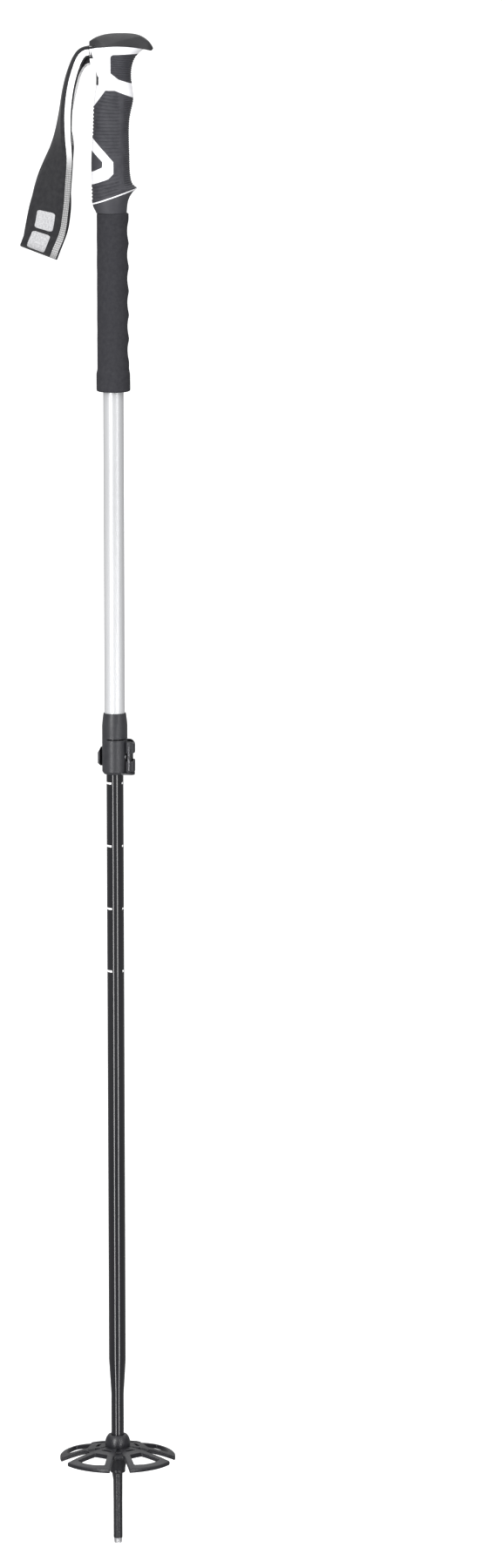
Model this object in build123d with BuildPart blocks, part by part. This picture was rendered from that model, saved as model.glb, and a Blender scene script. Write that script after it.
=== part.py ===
from build123d import *
import os
from math import cos, radians, sin, sqrt, tan

# Adjustable two-section ski pole, in millimetres.
# The origin is the tip's point on the shaft's axis. +Z runs up the shaft, +X points
# forwards, to the beak of the grip, and the wrist strap hangs at the back, on the -X side.

os.makedirs("parts", exist_ok=True)

# ---- Driving dimensions ----------------------------------------------------------------

fit_gap = 0.05  # radial clearance of a running or press-on fit
loose_gap = 0.3  # clearance between pieces that only pass each other

# Shafts
upper_radius = 8.0
upper_wall = 1.0
upper_bottom = 652.0
upper_top = 1166.0
lower_radius = 6.7
lower_wall = 0.9
lower_bottom = 60.0
lower_top = 950.0
swage_bottom = 122.0
swage_top = 150.0
neck_radius = 5.0

# Clamp: a moulded collar and split band with a cam lever
clamp_bottom = 622.2
band_top = 650.4
collar_top = 670.4
collar_lip_radius = 8.85
band_radius = 10.0
clamp_bore = upper_radius + 0.02
band_bore = lower_radius + fit_gap
split_gap = 1.6
relief_height = 1.0
relief_half_angle = 130.0
ear_inner_x = 8.6
ear_outer_x = 13.2
ear_thickness = 2.4
ear_bottom = 627.0
ear_top = 645.4
ledge_thickness = 1.4
plate_thickness = 0.6
plate_inner_x = 9.5
peg_width = 2.0
peg_height = 2.8
peg_inner = 8.1
peg_proud = 0.15
peg_angle = -33.0

# Tension screw and the trunnion that it pulls, which the lever turns on
screw_x = 11.0
screw_z = 636.0
screw_radius = 1.0
screw_head_radius = 1.9
screw_head_length = 2.1
washer_radius = 2.1
trunnion_radius = 1.5
trunnion_bottom = 625.2
trunnion_top = 644.8
knuckle_radius = 2.4
cam_offset = 0.3
lever_thickness = 1.7
lever_bottom = 624.1
lever_top = 648.2
lever_window_bottom = 632.8
lever_window_top = 639.2
lever_top_end = 7.0
lever_window_back = 9.0
lever_window_x = 11.5
lever_window_width = 13.0
trunnion_slot = 2.2

# Foam extension grip
foam_bottom = 923.4
foam_top = 1062.4
foam_radius = 12.4
foam_flange_radius = 13.2
foam_flange_top = 941.0
foam_bore = upper_radius + fit_gap
wave_count = 6
wave_pitch = 18.6
wave_depth = 1.3
wave_first = 955.0

# Grip
pad_depth = 1.6
neck_of_core_radius = 10.2
core_bottom = 1063.4
neck_of_core_top = 1090.0
core_bore = upper_radius + 0.03
ring_height = 1074.4
ring_tilt = 19.0
ring_thickness = 1.0
ring_proud = 0.25
grip_reach = 40.0

# Slot for the strap at the back of the grip, and the webbing
slot_bottom = 1181.6
slot_top = 1191.7
slot_half_width = 10.9
slot_depth_x = -4.4
webbing_thickness = 1.8
webbing_half_width = 10.5
strap_mouth_x = -17.3
strap_end_x = -5.0
upper_layer_z = 1190.4
lower_layer_z = 1183.0

# Basket and tip
basket_hub_centre = 82.0
hub_radius = 10.0
hub_top = 88.8
hub_waist_radius = 8.4
hub_foot = 60.4
hub_foot_radius = 6.0
ring_length = 2.6
basket_radius = 46.0
petal_count = 5
petal_angle = 52.0
first_petal = 21.0
petal_frame = 5.0
window_inner = 23.5
window_outer = 39.5
notch_inner = 24.0
web_step = 1.3  # how far the webs between the petals lie below them
bevel_size = 0.7
window_corner_radius = 1.1
disc_inner = 7.0  # the disc's section: radius and height at the hub, halfway and at the rim
disc_halfway = 26.0
disc_top_inner = 79.6
disc_top_halfway = 77.0
disc_top_rim = 71.8
disc_bottom_inner = 75.2
disc_bottom_halfway = 73.4
disc_bottom_rim = 68.2
disc_above = 84.0
beyond_disc = 60.0
slot_row_radius = 15.8
basket_bore = neck_radius + 0.06
ferrule_radius = 3.6
ferrule_root_radius = 3.8
ferrule_bottom = 4.0
ferrule_straight_top = 34.0
ferrule_flange_radius = 4.8
ferrule_plug_top = 96.0
rib_bottom = 50.7
rib_top = 57.4
rib_width = 1.5

# The grip's outer form: height, back and front edge on the X axis, half width across Y
grip_stations = [
    (1062.4, -12.9, 11.1, 11.9),
    (1065.0, -14.0, 11.2, 12.2),
    (1068.0, -15.3, 11.5, 12.5),
    (1071.0, -15.8, 12.0, 12.8),
    (1074.0, -15.9, 13.0, 13.0),
    (1077.0, -15.9, 14.7, 13.2),
    (1079.6, -16.0, 16.9, 13.3),
    (1081.6, -16.0, 18.9, 13.3),
    (1083.4, -16.0, 16.9, 13.2),
    (1086.0, -16.0, 15.0, 13.1),
    (1090.0, -16.1, 14.0, 12.9),
    (1096.0, -16.2, 13.4, 12.7),
    (1106.0, -16.1, 13.2, 12.6),
    (1122.0, -15.2, 12.8, 12.6),
    (1140.0, -14.6, 14.2, 12.9),
    (1151.5, -13.8, 16.4, 13.2),
    (1162.0, -12.4, 15.2, 13.2),
    (1170.0, -12.4, 14.7, 13.4),
    (1178.0, -13.2, 16.0, 14.0),
    (1184.0, -14.9, 19.0, 14.8),
    (1189.0, -17.0, 25.0, 15.4),
    (1193.0, -18.2, 30.0, 15.6),
]

# The squarer back of the grip's head, either side of the slot: height, back and half width
head_stations = [
    (1168.0, -12.0, 9.0),
    (1174.0, -12.6, 11.0),
    (1180.0, -13.9, 12.4),
    (1186.0, -15.8, 12.7),
    (1193.0, -17.9, 12.7),
]
head_front = 2.0
head_corner = 3.0

# The cap sits on the core along this arc, seen from the side
seat_back = (-17.6, 1189.3)
seat_crest = (3.0, 1191.4)
seat_front = (30.4, 1187.7)


def grip_form(inset):
    """The grip's outer form, drawn in by inset all round."""
    with BuildPart() as form:
        for height, back, front, half_width in grip_stations:
            with BuildSketch(Plane.XY.offset(height)):
                with Locations(((back + front) / 2, 0)):
                    Ellipse((front - back) / 2 - inset, half_width - inset)
        loft()
    return form.part


def window_corner(distance):
    """Corner of a petal's window, this far out along the petal's side."""
    edge = radians(petal_angle / 2)
    return (
        distance * cos(edge) + petal_frame * sin(edge),
        distance * sin(edge) - petal_frame * cos(edge),
    )


outer_form = grip_form(0)
ring_form = grip_form(-ring_proud)
tail_form = grip_form(pad_depth - 0.4)
seat_form = grip_form(pad_depth)

ring_plane = Plane(
    origin=(0, 0, ring_height),
    x_dir=(cos(radians(ring_tilt)), 0, sin(radians(ring_tilt))),
    z_dir=(-sin(radians(ring_tilt)), 0, cos(radians(ring_tilt))),
)
ring_top_plane = ring_plane.offset(ring_thickness)

# ---- Upper shaft and what it carries inside ---------------------------------------------

with BuildPart() as upper_shaft:
    with BuildSketch(Plane.XY.offset(upper_bottom)):
        Circle(upper_radius)
        Circle(upper_radius - upper_wall, mode=Mode.SUBTRACT)
    extrude(amount=upper_top - upper_bottom)
upper_shaft.part.label = "upper_shaft"
export_step(upper_shaft.part, "parts/upper_shaft.step")

plug_length = 14.0
plug_flange = 1.6
with BuildPart() as shaft_plug:
    with BuildSketch(Plane.XY.offset(upper_top)):
        Circle(upper_radius)
    extrude(amount=plug_flange)
    with BuildSketch(Plane.XY.offset(upper_top)):
        Circle(upper_radius - upper_wall - 0.02)
    extrude(amount=-plug_length)
    with Locations((0, 0, upper_top - plug_length)):
        Cylinder(4.5, 2 * (plug_length - 2), mode=Mode.SUBTRACT)
shaft_plug.part.label = "shaft_plug"
export_step(shaft_plug.part, "parts/shaft_plug.step")

# ---- Grip: rubber inlays, ring, collar, cap and the hard core ---------------------------

with BuildPart() as grip_thumb_pad:
    add(outer_form)
    with BuildSketch(Plane.XZ) as thumb_outline:
        with BuildLine():
            Polyline(
                (-1.1, 1185.0),
                (grip_reach, 1186.0),
                (grip_reach, 1154.2),
                (15.0, 1162.6),
                (5.0, 1166.0),
                (-1.1, 1171.0),
                close=True,
            )
        make_face()
        fillet(thumb_outline.vertices().sort_by(Axis.X)[:2], 2.5)
    extrude(amount=grip_reach, both=True, mode=Mode.INTERSECT)
    add(seat_form, mode=Mode.SUBTRACT)
grip_thumb_pad.part.label = "grip_thumb_pad"
export_step(grip_thumb_pad.part, "parts/grip_thumb_pad.step")

with BuildPart() as grip_palm_pad:
    add(outer_form)
    with BuildSketch(Plane.XZ):
        with BuildLine():
            Polyline(
                (-grip_reach, 1145.0),
                (-14.2, 1145.0),
                (-5.1, 1157.6),
                (2.2, 1157.6),
                (16.4, 1151.7),
                (grip_reach, 1141.9),
                (grip_reach, 1060.0),
                (-grip_reach, 1060.0),
                (-grip_reach, 1075.6),
                (-15.5, 1084.7),
                (-3.1, 1089.3),
                (0.9, 1093.3),
                (0.9, 1102.4),
                (-14.9, 1120.2),
                (-grip_reach, 1120.2),
                close=True,
            )
        make_face()
    extrude(amount=grip_reach, both=True, mode=Mode.INTERSECT)
    split(bisect_by=ring_top_plane, keep=Keep.TOP)
    add(seat_form, mode=Mode.SUBTRACT)
grip_palm_pad.part.label = "grip_palm_pad"
export_step(grip_palm_pad.part, "parts/grip_palm_pad.step")

with BuildPart() as grip_rear_pad:
    add(outer_form)
    with BuildSketch(Plane.XZ):
        with BuildLine():
            Polyline(
                (-grip_reach, 1111.0),
                (-16.0, 1111.0),
                (-7.5, 1102.4),
                (-7.8, 1098.2),
                (-16.0, 1094.3),
                (-grip_reach, 1094.3),
                close=True,
            )
        make_face()
    extrude(amount=grip_reach, both=True, mode=Mode.INTERSECT)
    add(seat_form, mode=Mode.SUBTRACT)
grip_rear_pad.part.label = "grip_rear_pad"
export_step(grip_rear_pad.part, "parts/grip_rear_pad.step")

with BuildPart() as grip_trim_ring:
    add(ring_form)
    split(bisect_by=ring_plane, keep=Keep.TOP)
    split(bisect_by=ring_top_plane, keep=Keep.BOTTOM)
    with Locations((0, 0, ring_height)):
        Cylinder(neck_of_core_radius, 40, mode=Mode.SUBTRACT)
grip_trim_ring.part.label = "grip_trim_ring"
export_step(grip_trim_ring.part, "parts/grip_trim_ring.step")

with BuildPart() as grip_collar:
    add(outer_form)
    split(bisect_by=ring_plane, keep=Keep.BOTTOM)
    with BuildSketch(Plane.XY.offset(core_bottom)):
        Circle(neck_of_core_radius)
    extrude(amount=40, mode=Mode.SUBTRACT)
    with Locations((0, 0, core_bottom)):
        Cylinder(core_bore, 10, mode=Mode.SUBTRACT)
grip_collar.part.label = "grip_collar"
export_step(grip_collar.part, "parts/grip_collar.step")

cap_half_width = 15.8
cap_top = 1201.2
cap_shoulder_z = 1194.0
beak_radius = 8.5
beak_tip = (32.0, 1189.2)
cap_spigot_x = 8.0
cap_spigot_radius = 5.0
cap_spigot_bottom = 1181.0
with BuildPart() as grip_cap:
    with BuildSketch(Plane.XZ):
        with BuildLine():
            Spline(
                (seat_back[0], 1194.8),
                (-4.0, 1200.3),
                (8.0, cap_top),
                (18.0, 1200.2),
                (26.2, 1196.4),
                beak_tip,
            )
            Line(beak_tip, seat_front)
            ThreePointArc(seat_front, seat_crest, seat_back)
            Line(seat_back, (seat_back[0], 1194.8))
        make_face()
    extrude(amount=grip_reach, both=True)
    with BuildSketch(Plane.XY.offset(cap_spigot_bottom)):
        with BuildLine():
            CenterArc((seat_back[0] + cap_half_width, 0), cap_half_width, 0, 360)
            CenterArc((beak_tip[0] - beak_radius, 0), beak_radius, 0, 360)
        make_hull()
    extrude(amount=grip_reach, mode=Mode.INTERSECT)
    # rounded across, seen from the front
    with BuildSketch(Plane.YZ):
        with BuildLine():
            Polyline(
                (-cap_half_width, cap_shoulder_z),
                (-cap_half_width, cap_spigot_bottom),
                (cap_half_width, cap_spigot_bottom),
                (cap_half_width, cap_shoulder_z),
            )
            ThreePointArc(
                (cap_half_width, cap_shoulder_z),
                (0, cap_top),
                (-cap_half_width, cap_shoulder_z),
            )
        make_face()
    extrude(amount=grip_reach, both=True, mode=Mode.INTERSECT)
    with BuildSketch(Plane.XY.offset(cap_spigot_bottom)):
        with Locations((cap_spigot_x, 0)):
            Circle(cap_spigot_radius)
    extrude(amount=cap_shoulder_z - cap_spigot_bottom)
    with BuildSketch(Plane.XY.offset(slot_bottom)):
        with Locations(((slot_depth_x - grip_reach) / 2, 0)):
            Rectangle(grip_reach + slot_depth_x, 2 * slot_half_width)
    extrude(amount=slot_top - slot_bottom, mode=Mode.SUBTRACT)
grip_cap.part.label = "grip_cap"
export_step(grip_cap.part, "parts/grip_cap.step")

tail_half_width = 8.0
tail_bottom = 1161.5
tail_top = 1177.0
above_grip = 1210.0
with BuildPart() as grip_core:
    for height, back, half_width in head_stations:
        with BuildSketch(Plane.XY.offset(height)):
            with Locations(((back + head_front) / 2, 0)):
                RectangleRounded(head_front - back, 2 * half_width, head_corner)
    loft()
    add(outer_form)
    # the cap's seat
    with BuildSketch(Plane.XZ):
        with BuildLine():
            ThreePointArc(seat_back, seat_crest, seat_front)
            Polyline(
                seat_front,
                (grip_reach, seat_front[1]),
                (grip_reach, above_grip),
                (-grip_reach, above_grip),
                (-grip_reach, seat_back[1]),
                seat_back,
            )
        make_face()
    extrude(amount=grip_reach, both=True, mode=Mode.SUBTRACT)
    add(grip_thumb_pad.part, mode=Mode.SUBTRACT)
    add(grip_palm_pad.part, mode=Mode.SUBTRACT)
    add(grip_rear_pad.part, mode=Mode.SUBTRACT)
    split(bisect_by=ring_top_plane, keep=Keep.TOP)
    with BuildSketch(Plane.XY.offset(core_bottom)):
        Circle(neck_of_core_radius)
    extrude(amount=neck_of_core_top - core_bottom)
    # the shaft's bore, the cap's socket, the strap's slot and the tail's recess
    with BuildSketch(Plane.XY.offset(core_bottom)):
        Circle(core_bore)
    extrude(amount=upper_top + plug_flange - core_bottom, mode=Mode.SUBTRACT)
    with BuildSketch(Plane.XY.offset(cap_spigot_bottom)):
        with Locations((cap_spigot_x, 0)):
            Circle(cap_spigot_radius)
    extrude(amount=20, mode=Mode.SUBTRACT)
    with BuildSketch(Plane.XY.offset(slot_bottom)):
        with Locations(((slot_depth_x - grip_reach) / 2, 0)):
            Rectangle(grip_reach + slot_depth_x, 2 * slot_half_width)
    extrude(amount=slot_top - slot_bottom, mode=Mode.SUBTRACT)
    with BuildSketch(Plane.XY.offset(tail_bottom - loose_gap)):
        with Locations((-grip_reach / 2 - 10.4, 0)):
            Rectangle(grip_reach, 2 * (tail_half_width + loose_gap))
    extrude(amount=slot_bottom - tail_bottom + 1, mode=Mode.SUBTRACT)
grip_core.part.label = "grip_core"
export_step(grip_core.part, "parts/grip_core.step")

# ---- Wrist strap -------------------------------------------------------------------------

with BuildPart() as strap_ends:
    with BuildSketch(Plane.XZ) as ends_outline:
        with Locations(((strap_mouth_x + strap_end_x) / 2, (upper_layer_z + lower_layer_z) / 2)):
            Rectangle(
                strap_end_x - strap_mouth_x,
                upper_layer_z - lower_layer_z + webbing_thickness,
            )
        fillet(ends_outline.vertices().sort_by(Axis.X)[-2:], 3.0)
        with Locations(
            (
                (strap_mouth_x + strap_end_x) / 2 - webbing_thickness,
                (upper_layer_z + lower_layer_z) / 2,
            )
        ):
            Rectangle(
                strap_end_x - strap_mouth_x,
                upper_layer_z - lower_layer_z - webbing_thickness,
                mode=Mode.SUBTRACT,
            )
    extrude(amount=webbing_half_width, both=True)
strap_ends.part.label = "strap_ends"
export_step(strap_ends.part, "parts/strap_ends.step")

wedge_back = -16.4
wedge_front = strap_end_x - webbing_thickness - fit_gap
wedge_middle = (upper_layer_z + lower_layer_z) / 2
wedge_half_height = (upper_layer_z - lower_layer_z - webbing_thickness) / 2 - fit_gap
with BuildPart() as strap_wedge:
    with BuildSketch(Plane.XZ):
        with BuildLine():
            Polyline(
                (wedge_back, wedge_middle - wedge_half_height + 0.7),
                (wedge_front, wedge_middle - wedge_half_height),
                (wedge_front, wedge_middle + wedge_half_height),
                (wedge_back, wedge_middle + wedge_half_height - 0.7),
                close=True,
            )
        make_face()
    extrude(amount=webbing_half_width - 0.8, both=True)
    fillet(strap_wedge.edges().filter_by(Axis.Z), 1.5)
strap_wedge.part.label = "strap_wedge"
export_step(strap_wedge.part, "parts/strap_wedge.step")

with BuildPart() as strap_tail:
    add(outer_form)
    with BuildSketch(Plane.XY.offset(tail_bottom)):
        with Locations((-grip_reach / 2 - 10.7, 0)):
            Rectangle(grip_reach, 2 * tail_half_width)
    extrude(amount=tail_top - tail_bottom, mode=Mode.INTERSECT)
    add(tail_form, mode=Mode.SUBTRACT)
strap_tail.part.label = "strap_tail"
export_step(strap_tail.part, "parts/strap_tail.step")


def webbing_plane(x, y, z, heading, twist):
    """Plane across the webbing: its x axis runs across the width, to the striped edge.

    heading is the way the webbing runs, seen from the side, in degrees up from +X.
    twist turns the width from the Y axis, at 0, into the side view's plane, at 90.
    """
    run = Vector(cos(radians(heading)), 0, sin(radians(heading)))
    side = run.cross(Vector(0, 1, 0))
    across = side * sin(radians(twist)) - Vector(0, 1, 0) * cos(radians(twist))
    return Plane(origin=(x, y, z), x_dir=across, z_dir=run)


# Each leg from the slot down: place, heading, twist and width
front_leg = [
    (-17.7, 0.0, 1190.4, 178, 0, 21),
    (-21.5, -0.2, 1189.9, 191, 0, 21),
    (-25.6, -0.6, 1187.7, 217, 1, 21),
    (-29.4, -1.2, 1182.6, 240, 2, 21.5),
    (-32.2, -2.2, 1176.0, 250, 4, 22),
    (-34.8, -3.4, 1168.0, 256, 5, 22.5),
    (-36.9, -4.8, 1159.0, 260, 6, 23),
    (-39.3, -7.2, 1141.5, 264, 9, 25),
    (-40.6, -9.0, 1123.5, 266, 23, 27),
    (-41.6, -10.2, 1105.5, 264, 43, 29),
    (-44.6, -11.2, 1087.5, 260, 59, 31),
    (-48.2, -11.4, 1067.0, 259, 77, 33),
    (-51.4, -9.8, 1050.0, 254, 86, 33),
    (-54.4, -8.6, 1040.0, 249, 90, 31),
]
rear_leg = [
    (-17.7, 0.0, 1183.0, 184, 0, 21),
    (-22.0, 0.2, 1181.6, 208, 0, 21),
    (-26.4, 0.6, 1177.6, 231, 1, 21),
    (-30.2, 1.4, 1171.0, 246, 3, 21.5),
    (-33.0, 2.4, 1162.0, 257, 5, 22),
    (-34.6, 3.8, 1152.0, 263, 8, 23),
    (-35.6, 5.6, 1140.0, 265, 12, 25),
    (-37.4, 8.0, 1123.0, 264, 24, 27),
    (-40.4, 9.8, 1105.0, 259, 42, 29),
    (-44.0, 11.2, 1089.0, 257, 58, 31),
    (-48.2, 11.4, 1067.0, 258, 77, 33),
    (-51.4, 9.8, 1050.0, 254, 86, 33),
    (-54.4, 8.6, 1040.0, 249, 90, 31),
]
toe_axis_point = (-54.4, 0, 1040.0)
with BuildPart() as strap_loop:
    for x, y, z, heading, twist, width in front_leg:
        with BuildSketch(webbing_plane(x, y, z, heading, twist)):
            Rectangle(width, webbing_thickness)
    loft(ruled=True)
    for x, y, z, heading, twist, width in rear_leg:
        with BuildSketch(webbing_plane(x, y, z, heading, twist)):
            Rectangle(width, webbing_thickness)
    loft(ruled=True)
    # the toe, where the webbing turns back
    toe_plane = webbing_plane(*front_leg[-1][:5])
    with BuildSketch(toe_plane):
        Rectangle(front_leg[-1][5], webbing_thickness)
    revolve(axis=Axis(toe_axis_point, toe_plane.x_dir), revolution_arc=180)
strap_loop.part.label = "strap_loop"
export_step(strap_loop.part, "parts/strap_loop.step")

# ---- Foam extension grip -----------------------------------------------------------------

half_wave = 0.45 * wave_pitch  # the crests between the waves stay a little flat
wave_radius = (half_wave**2 + wave_depth**2) / (2 * wave_depth)
with BuildPart() as foam_grip:
    with BuildSketch(Plane.XZ):
        with BuildLine():
            Polyline(
                (foam_bore, foam_bottom),
                (foam_flange_radius - 1.5, foam_bottom),
                (foam_flange_radius, foam_bottom + 1.5),
                (foam_flange_radius, foam_flange_top - 4),
                (foam_radius, foam_flange_top),
                (foam_radius, foam_top - 1),
                (foam_radius - 1, foam_top),
                (foam_bore, foam_top),
                close=True,
            )
        make_face()
    revolve(axis=Axis.Z)
    # finger waves along the front
    for wave in range(wave_count):
        with BuildSketch(Plane.XZ):
            with Locations(
                (foam_radius - wave_depth + wave_radius, wave_first + wave * wave_pitch)
            ):
                Circle(wave_radius)
        extrude(amount=grip_reach, both=True, mode=Mode.SUBTRACT)
foam_grip.part.label = "foam_grip"
export_step(foam_grip.part, "parts/foam_grip.step")

# ---- Clamp -------------------------------------------------------------------------------

ear_face_front = -split_gap / 2 - ear_thickness
ear_face_back = split_gap / 2 + ear_thickness
plate_face = ear_face_front - plate_thickness
trunnion_y = plate_face - 0.2 - knuckle_radius - cam_offset

with BuildPart() as plate_peg:
    with BuildSketch(
        Plane(
            origin=(0, 0, screw_z),
            x_dir=(0, 0, 1),
            z_dir=(cos(radians(peg_angle)), sin(radians(peg_angle)), 0),
        ).offset(peg_inner)
    ):
        Polygon(
            (peg_height / 2, 0),
            (0, peg_width / 2),
            (-peg_height / 2, 0),
            (0, -peg_width / 2),
            align=None,
        )
    extrude(amount=band_radius + peg_proud - peg_inner)
plate_peg.part.label = "plate_peg"
export_step(plate_peg.part, "parts/plate_peg.step")

with BuildPart() as clamp_body:
    with BuildSketch(Plane.XZ):
        with BuildLine():
            Polyline(
                (collar_lip_radius, collar_top),
                (band_bore, collar_top),
                (band_bore, clamp_bottom),
                (band_radius - 1.3, clamp_bottom),
                (band_radius, clamp_bottom + 2),
                (band_radius, collar_top - 10),
            )
            ThreePointArc(
                (band_radius, collar_top - 10),
                (band_radius - 0.45, collar_top - 5),
                (collar_lip_radius, collar_top),
            )
        make_face()
    revolve(axis=Axis.Z)
    # two ears, and the ledge under the lever's knuckles
    with BuildSketch(Plane.XY.offset(ear_bottom)):
        with Locations(((ear_inner_x + ear_outer_x) / 2, 0)):
            Rectangle(ear_outer_x - ear_inner_x, 2 * ear_face_back)
    extrude(amount=ear_top - ear_bottom)
    with BuildSketch(Plane.XY.offset(clamp_bottom)):
        with BuildLine():
            Polyline(
                (5.0, 6.5),
                (13.0, 4.0),
                (15.8, 0.0),
                (15.8, -7.0),
                (13.0, -10.0),
                (5.0, -8.3),
                close=True,
            )
        make_face()
    extrude(amount=ledge_thickness)
    # the band grips the lower shaft, and the upper one stops on the step above it
    Cylinder(band_bore, 2 * collar_top, mode=Mode.SUBTRACT)
    with BuildSketch(Plane.XY.offset(upper_bottom)):
        Circle(clamp_bore)
    extrude(amount=collar_top - upper_bottom, mode=Mode.SUBTRACT)
    # the split between the ears, and the relief slot that lets the band close
    with BuildSketch(Plane.XY):
        with Locations((grip_reach / 2, 0)):
            Rectangle(grip_reach, split_gap)
    extrude(amount=band_top, mode=Mode.SUBTRACT)
    with BuildSketch(Plane.XY.offset(band_top - relief_height)):
        with BuildLine():
            CenterArc((0, 0), grip_reach, -relief_half_angle, 2 * relief_half_angle)
            Line(
                (
                    grip_reach * cos(radians(relief_half_angle)),
                    grip_reach * sin(radians(relief_half_angle)),
                ),
                (0, 0),
            )
            Line(
                (0, 0),
                (
                    grip_reach * cos(radians(relief_half_angle)),
                    -grip_reach * sin(radians(relief_half_angle)),
                ),
            )
        make_face()
    extrude(amount=relief_height, mode=Mode.SUBTRACT)
    # the screw's hole through both ears, and the peg's hole in the band
    with BuildSketch(Plane.XZ):
        with Locations((screw_x, screw_z)):
            Circle(screw_radius + 0.15)
    extrude(amount=grip_reach, both=True, mode=Mode.SUBTRACT)
    add(plate_peg.part, mode=Mode.SUBTRACT)
    # a flat seat for the washer and the screw's head
    with BuildSketch(Plane.XZ.offset(-ear_face_back)):
        with Locations((screw_x, screw_z)):
            Circle(washer_radius + loose_gap)
    extrude(amount=-grip_reach, mode=Mode.SUBTRACT)
clamp_body.part.label = "clamp_body"
export_step(clamp_body.part, "parts/clamp_body.step")

with BuildPart() as cam_plate:
    with BuildSketch(Plane.XZ.offset(-ear_face_front)):
        with Locations(((plate_inner_x + ear_outer_x) / 2, screw_z)):
            RectangleRounded(ear_outer_x - plate_inner_x, ear_top - ear_bottom - 1, 0.8)
        with Locations((screw_x, screw_z)):
            Circle(screw_radius + 0.15, mode=Mode.SUBTRACT)
    extrude(amount=plate_thickness)
cam_plate.part.label = "cam_plate"
export_step(cam_plate.part, "parts/cam_plate.step")

washer_thickness = 0.6
with BuildPart() as screw_washer:
    with BuildSketch(Plane.XZ.offset(-ear_face_back - washer_thickness)):
        with Locations((screw_x, screw_z)):
            Circle(washer_radius)
            Circle(screw_radius + 0.15, mode=Mode.SUBTRACT)
    extrude(amount=washer_thickness)
screw_washer.part.label = "screw_washer"
export_step(screw_washer.part, "parts/screw_washer.step")

screw_head_seat = ear_face_back + washer_thickness + fit_gap
screw_end = trunnion_y - trunnion_radius + 0.2
with BuildPart() as tension_screw:
    with BuildSketch(Plane.XZ.offset(-screw_head_seat)):
        with Locations((screw_x, screw_z)):
            Circle(screw_radius)
    extrude(amount=screw_head_seat - screw_end)
    with BuildSketch(Plane.XZ.offset(-screw_head_seat)):
        with Locations((screw_x, screw_z)):
            Circle(screw_head_radius)
    extrude(amount=-screw_head_length)
    chamfer(tension_screw.faces().sort_by(Axis.Y)[-1].edges(), 0.3)
    with BuildSketch(Plane.XZ.offset(-screw_head_seat - screw_head_length)):
        with Locations((screw_x, screw_z)):
            RegularPolygon(1.0, 6)
    extrude(amount=1.3, mode=Mode.SUBTRACT)
tension_screw.part.label = "tension_screw"
export_step(tension_screw.part, "parts/tension_screw.step")

with BuildPart() as barrel_nut:
    with BuildSketch(Plane.XY.offset(trunnion_bottom)):
        with Locations((screw_x, trunnion_y)):
            Circle(trunnion_radius)
    extrude(amount=trunnion_top - trunnion_bottom)
    chamfer(barrel_nut.edges().filter_by(GeomType.CIRCLE), 0.3)
    with BuildSketch(Plane.XZ):
        with Locations((screw_x, screw_z)):
            Circle(screw_radius + fit_gap)
    extrude(amount=grip_reach, both=True, mode=Mode.SUBTRACT)
barrel_nut.part.label = "barrel_nut"
export_step(barrel_nut.part, "parts/barrel_nut.step")

# The lever's arm, seen from above, runs outside the ears and round the back of the band
with BuildPart() as clamp_lever:
    with BuildSketch(Plane.XY.offset(lever_bottom)):
        with BuildLine():
            Spline(
                (screw_x, trunnion_y),
                (14.2, trunnion_y + 1.0),
                (15.0, -1.0),
                (15.0, 5.0),
                (12.6, 9.6),
                (7.4, 12.0),
                (0.0, 12.5),
                (-7.0, 10.6),
                (-10.8, 6.6),
                (-12.8, 2.6),
            )
        trace(line_width=lever_thickness)
        with Locations((screw_x, trunnion_y + cam_offset)):
            Circle(knuckle_radius)
    extrude(amount=lever_top - lever_bottom)
    # side outline: tall at the knuckles, narrow at the finger tab
    with BuildSketch(Plane.XZ):
        with BuildLine():
            Polyline(
                (lever_top_end, lever_top),
                (12.0, lever_top),
            )
            ThreePointArc((12.0, lever_top), (15.0, lever_top - 1.4), (16.3, lever_top - 4.8))
            Polyline(
                (16.3, lever_top - 4.8),
                (16.3, lever_bottom),
                (9.0, lever_bottom),
                (3.0, 626.0),
                (-9.0, 627.4),
                (-11.2, 627.7),
                (-13.2, 629.8),
                (-grip_reach, 629.8),
                (-grip_reach, 638.8),
                (-13.2, 638.8),
                (-11.2, 642.4),
                (-9.0, 642.8),
                (3.0, 645.4),
                (lever_top_end, lever_top),
            )
        make_face()
    extrude(amount=grip_reach, both=True, mode=Mode.INTERSECT)
    # the window that the ears' boss and the screw stand in
    with BuildSketch(Plane.XY.offset(lever_window_bottom)):
        with Locations((lever_window_x, (lever_window_back - grip_reach) / 2)):
            Rectangle(lever_window_width, lever_window_back + grip_reach)
    extrude(amount=lever_window_top - lever_window_bottom, mode=Mode.SUBTRACT)
    # the trunnion's bore, open at the front so that the trunnion shows
    with Locations((screw_x, trunnion_y, screw_z)):
        Cylinder(trunnion_radius + fit_gap, grip_reach, mode=Mode.SUBTRACT)
    with Locations((screw_x, trunnion_y - 5, (trunnion_bottom + trunnion_top) / 2)):
        Box(trunnion_slot, 10, trunnion_top - trunnion_bottom, mode=Mode.SUBTRACT)
clamp_lever.part.label = "clamp_lever"
export_step(clamp_lever.part, "parts/clamp_lever.step")

# ---- Lower shaft -------------------------------------------------------------------------

with BuildPart() as lower_shaft:
    with BuildSketch(Plane.XZ):
        with BuildLine():
            Polyline(
                (lower_radius - lower_wall, lower_top),
                (lower_radius, lower_top),
                (lower_radius, swage_top),
                (neck_radius, swage_bottom),
                (neck_radius, lower_bottom),
                (neck_radius - lower_wall, lower_bottom),
                (neck_radius - lower_wall, swage_bottom),
                (lower_radius - lower_wall, swage_top),
                close=True,
            )
        make_face()
    revolve(axis=Axis.Z)
lower_shaft.part.label = "lower_shaft"
export_step(lower_shaft.part, "parts/lower_shaft.step")

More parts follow.
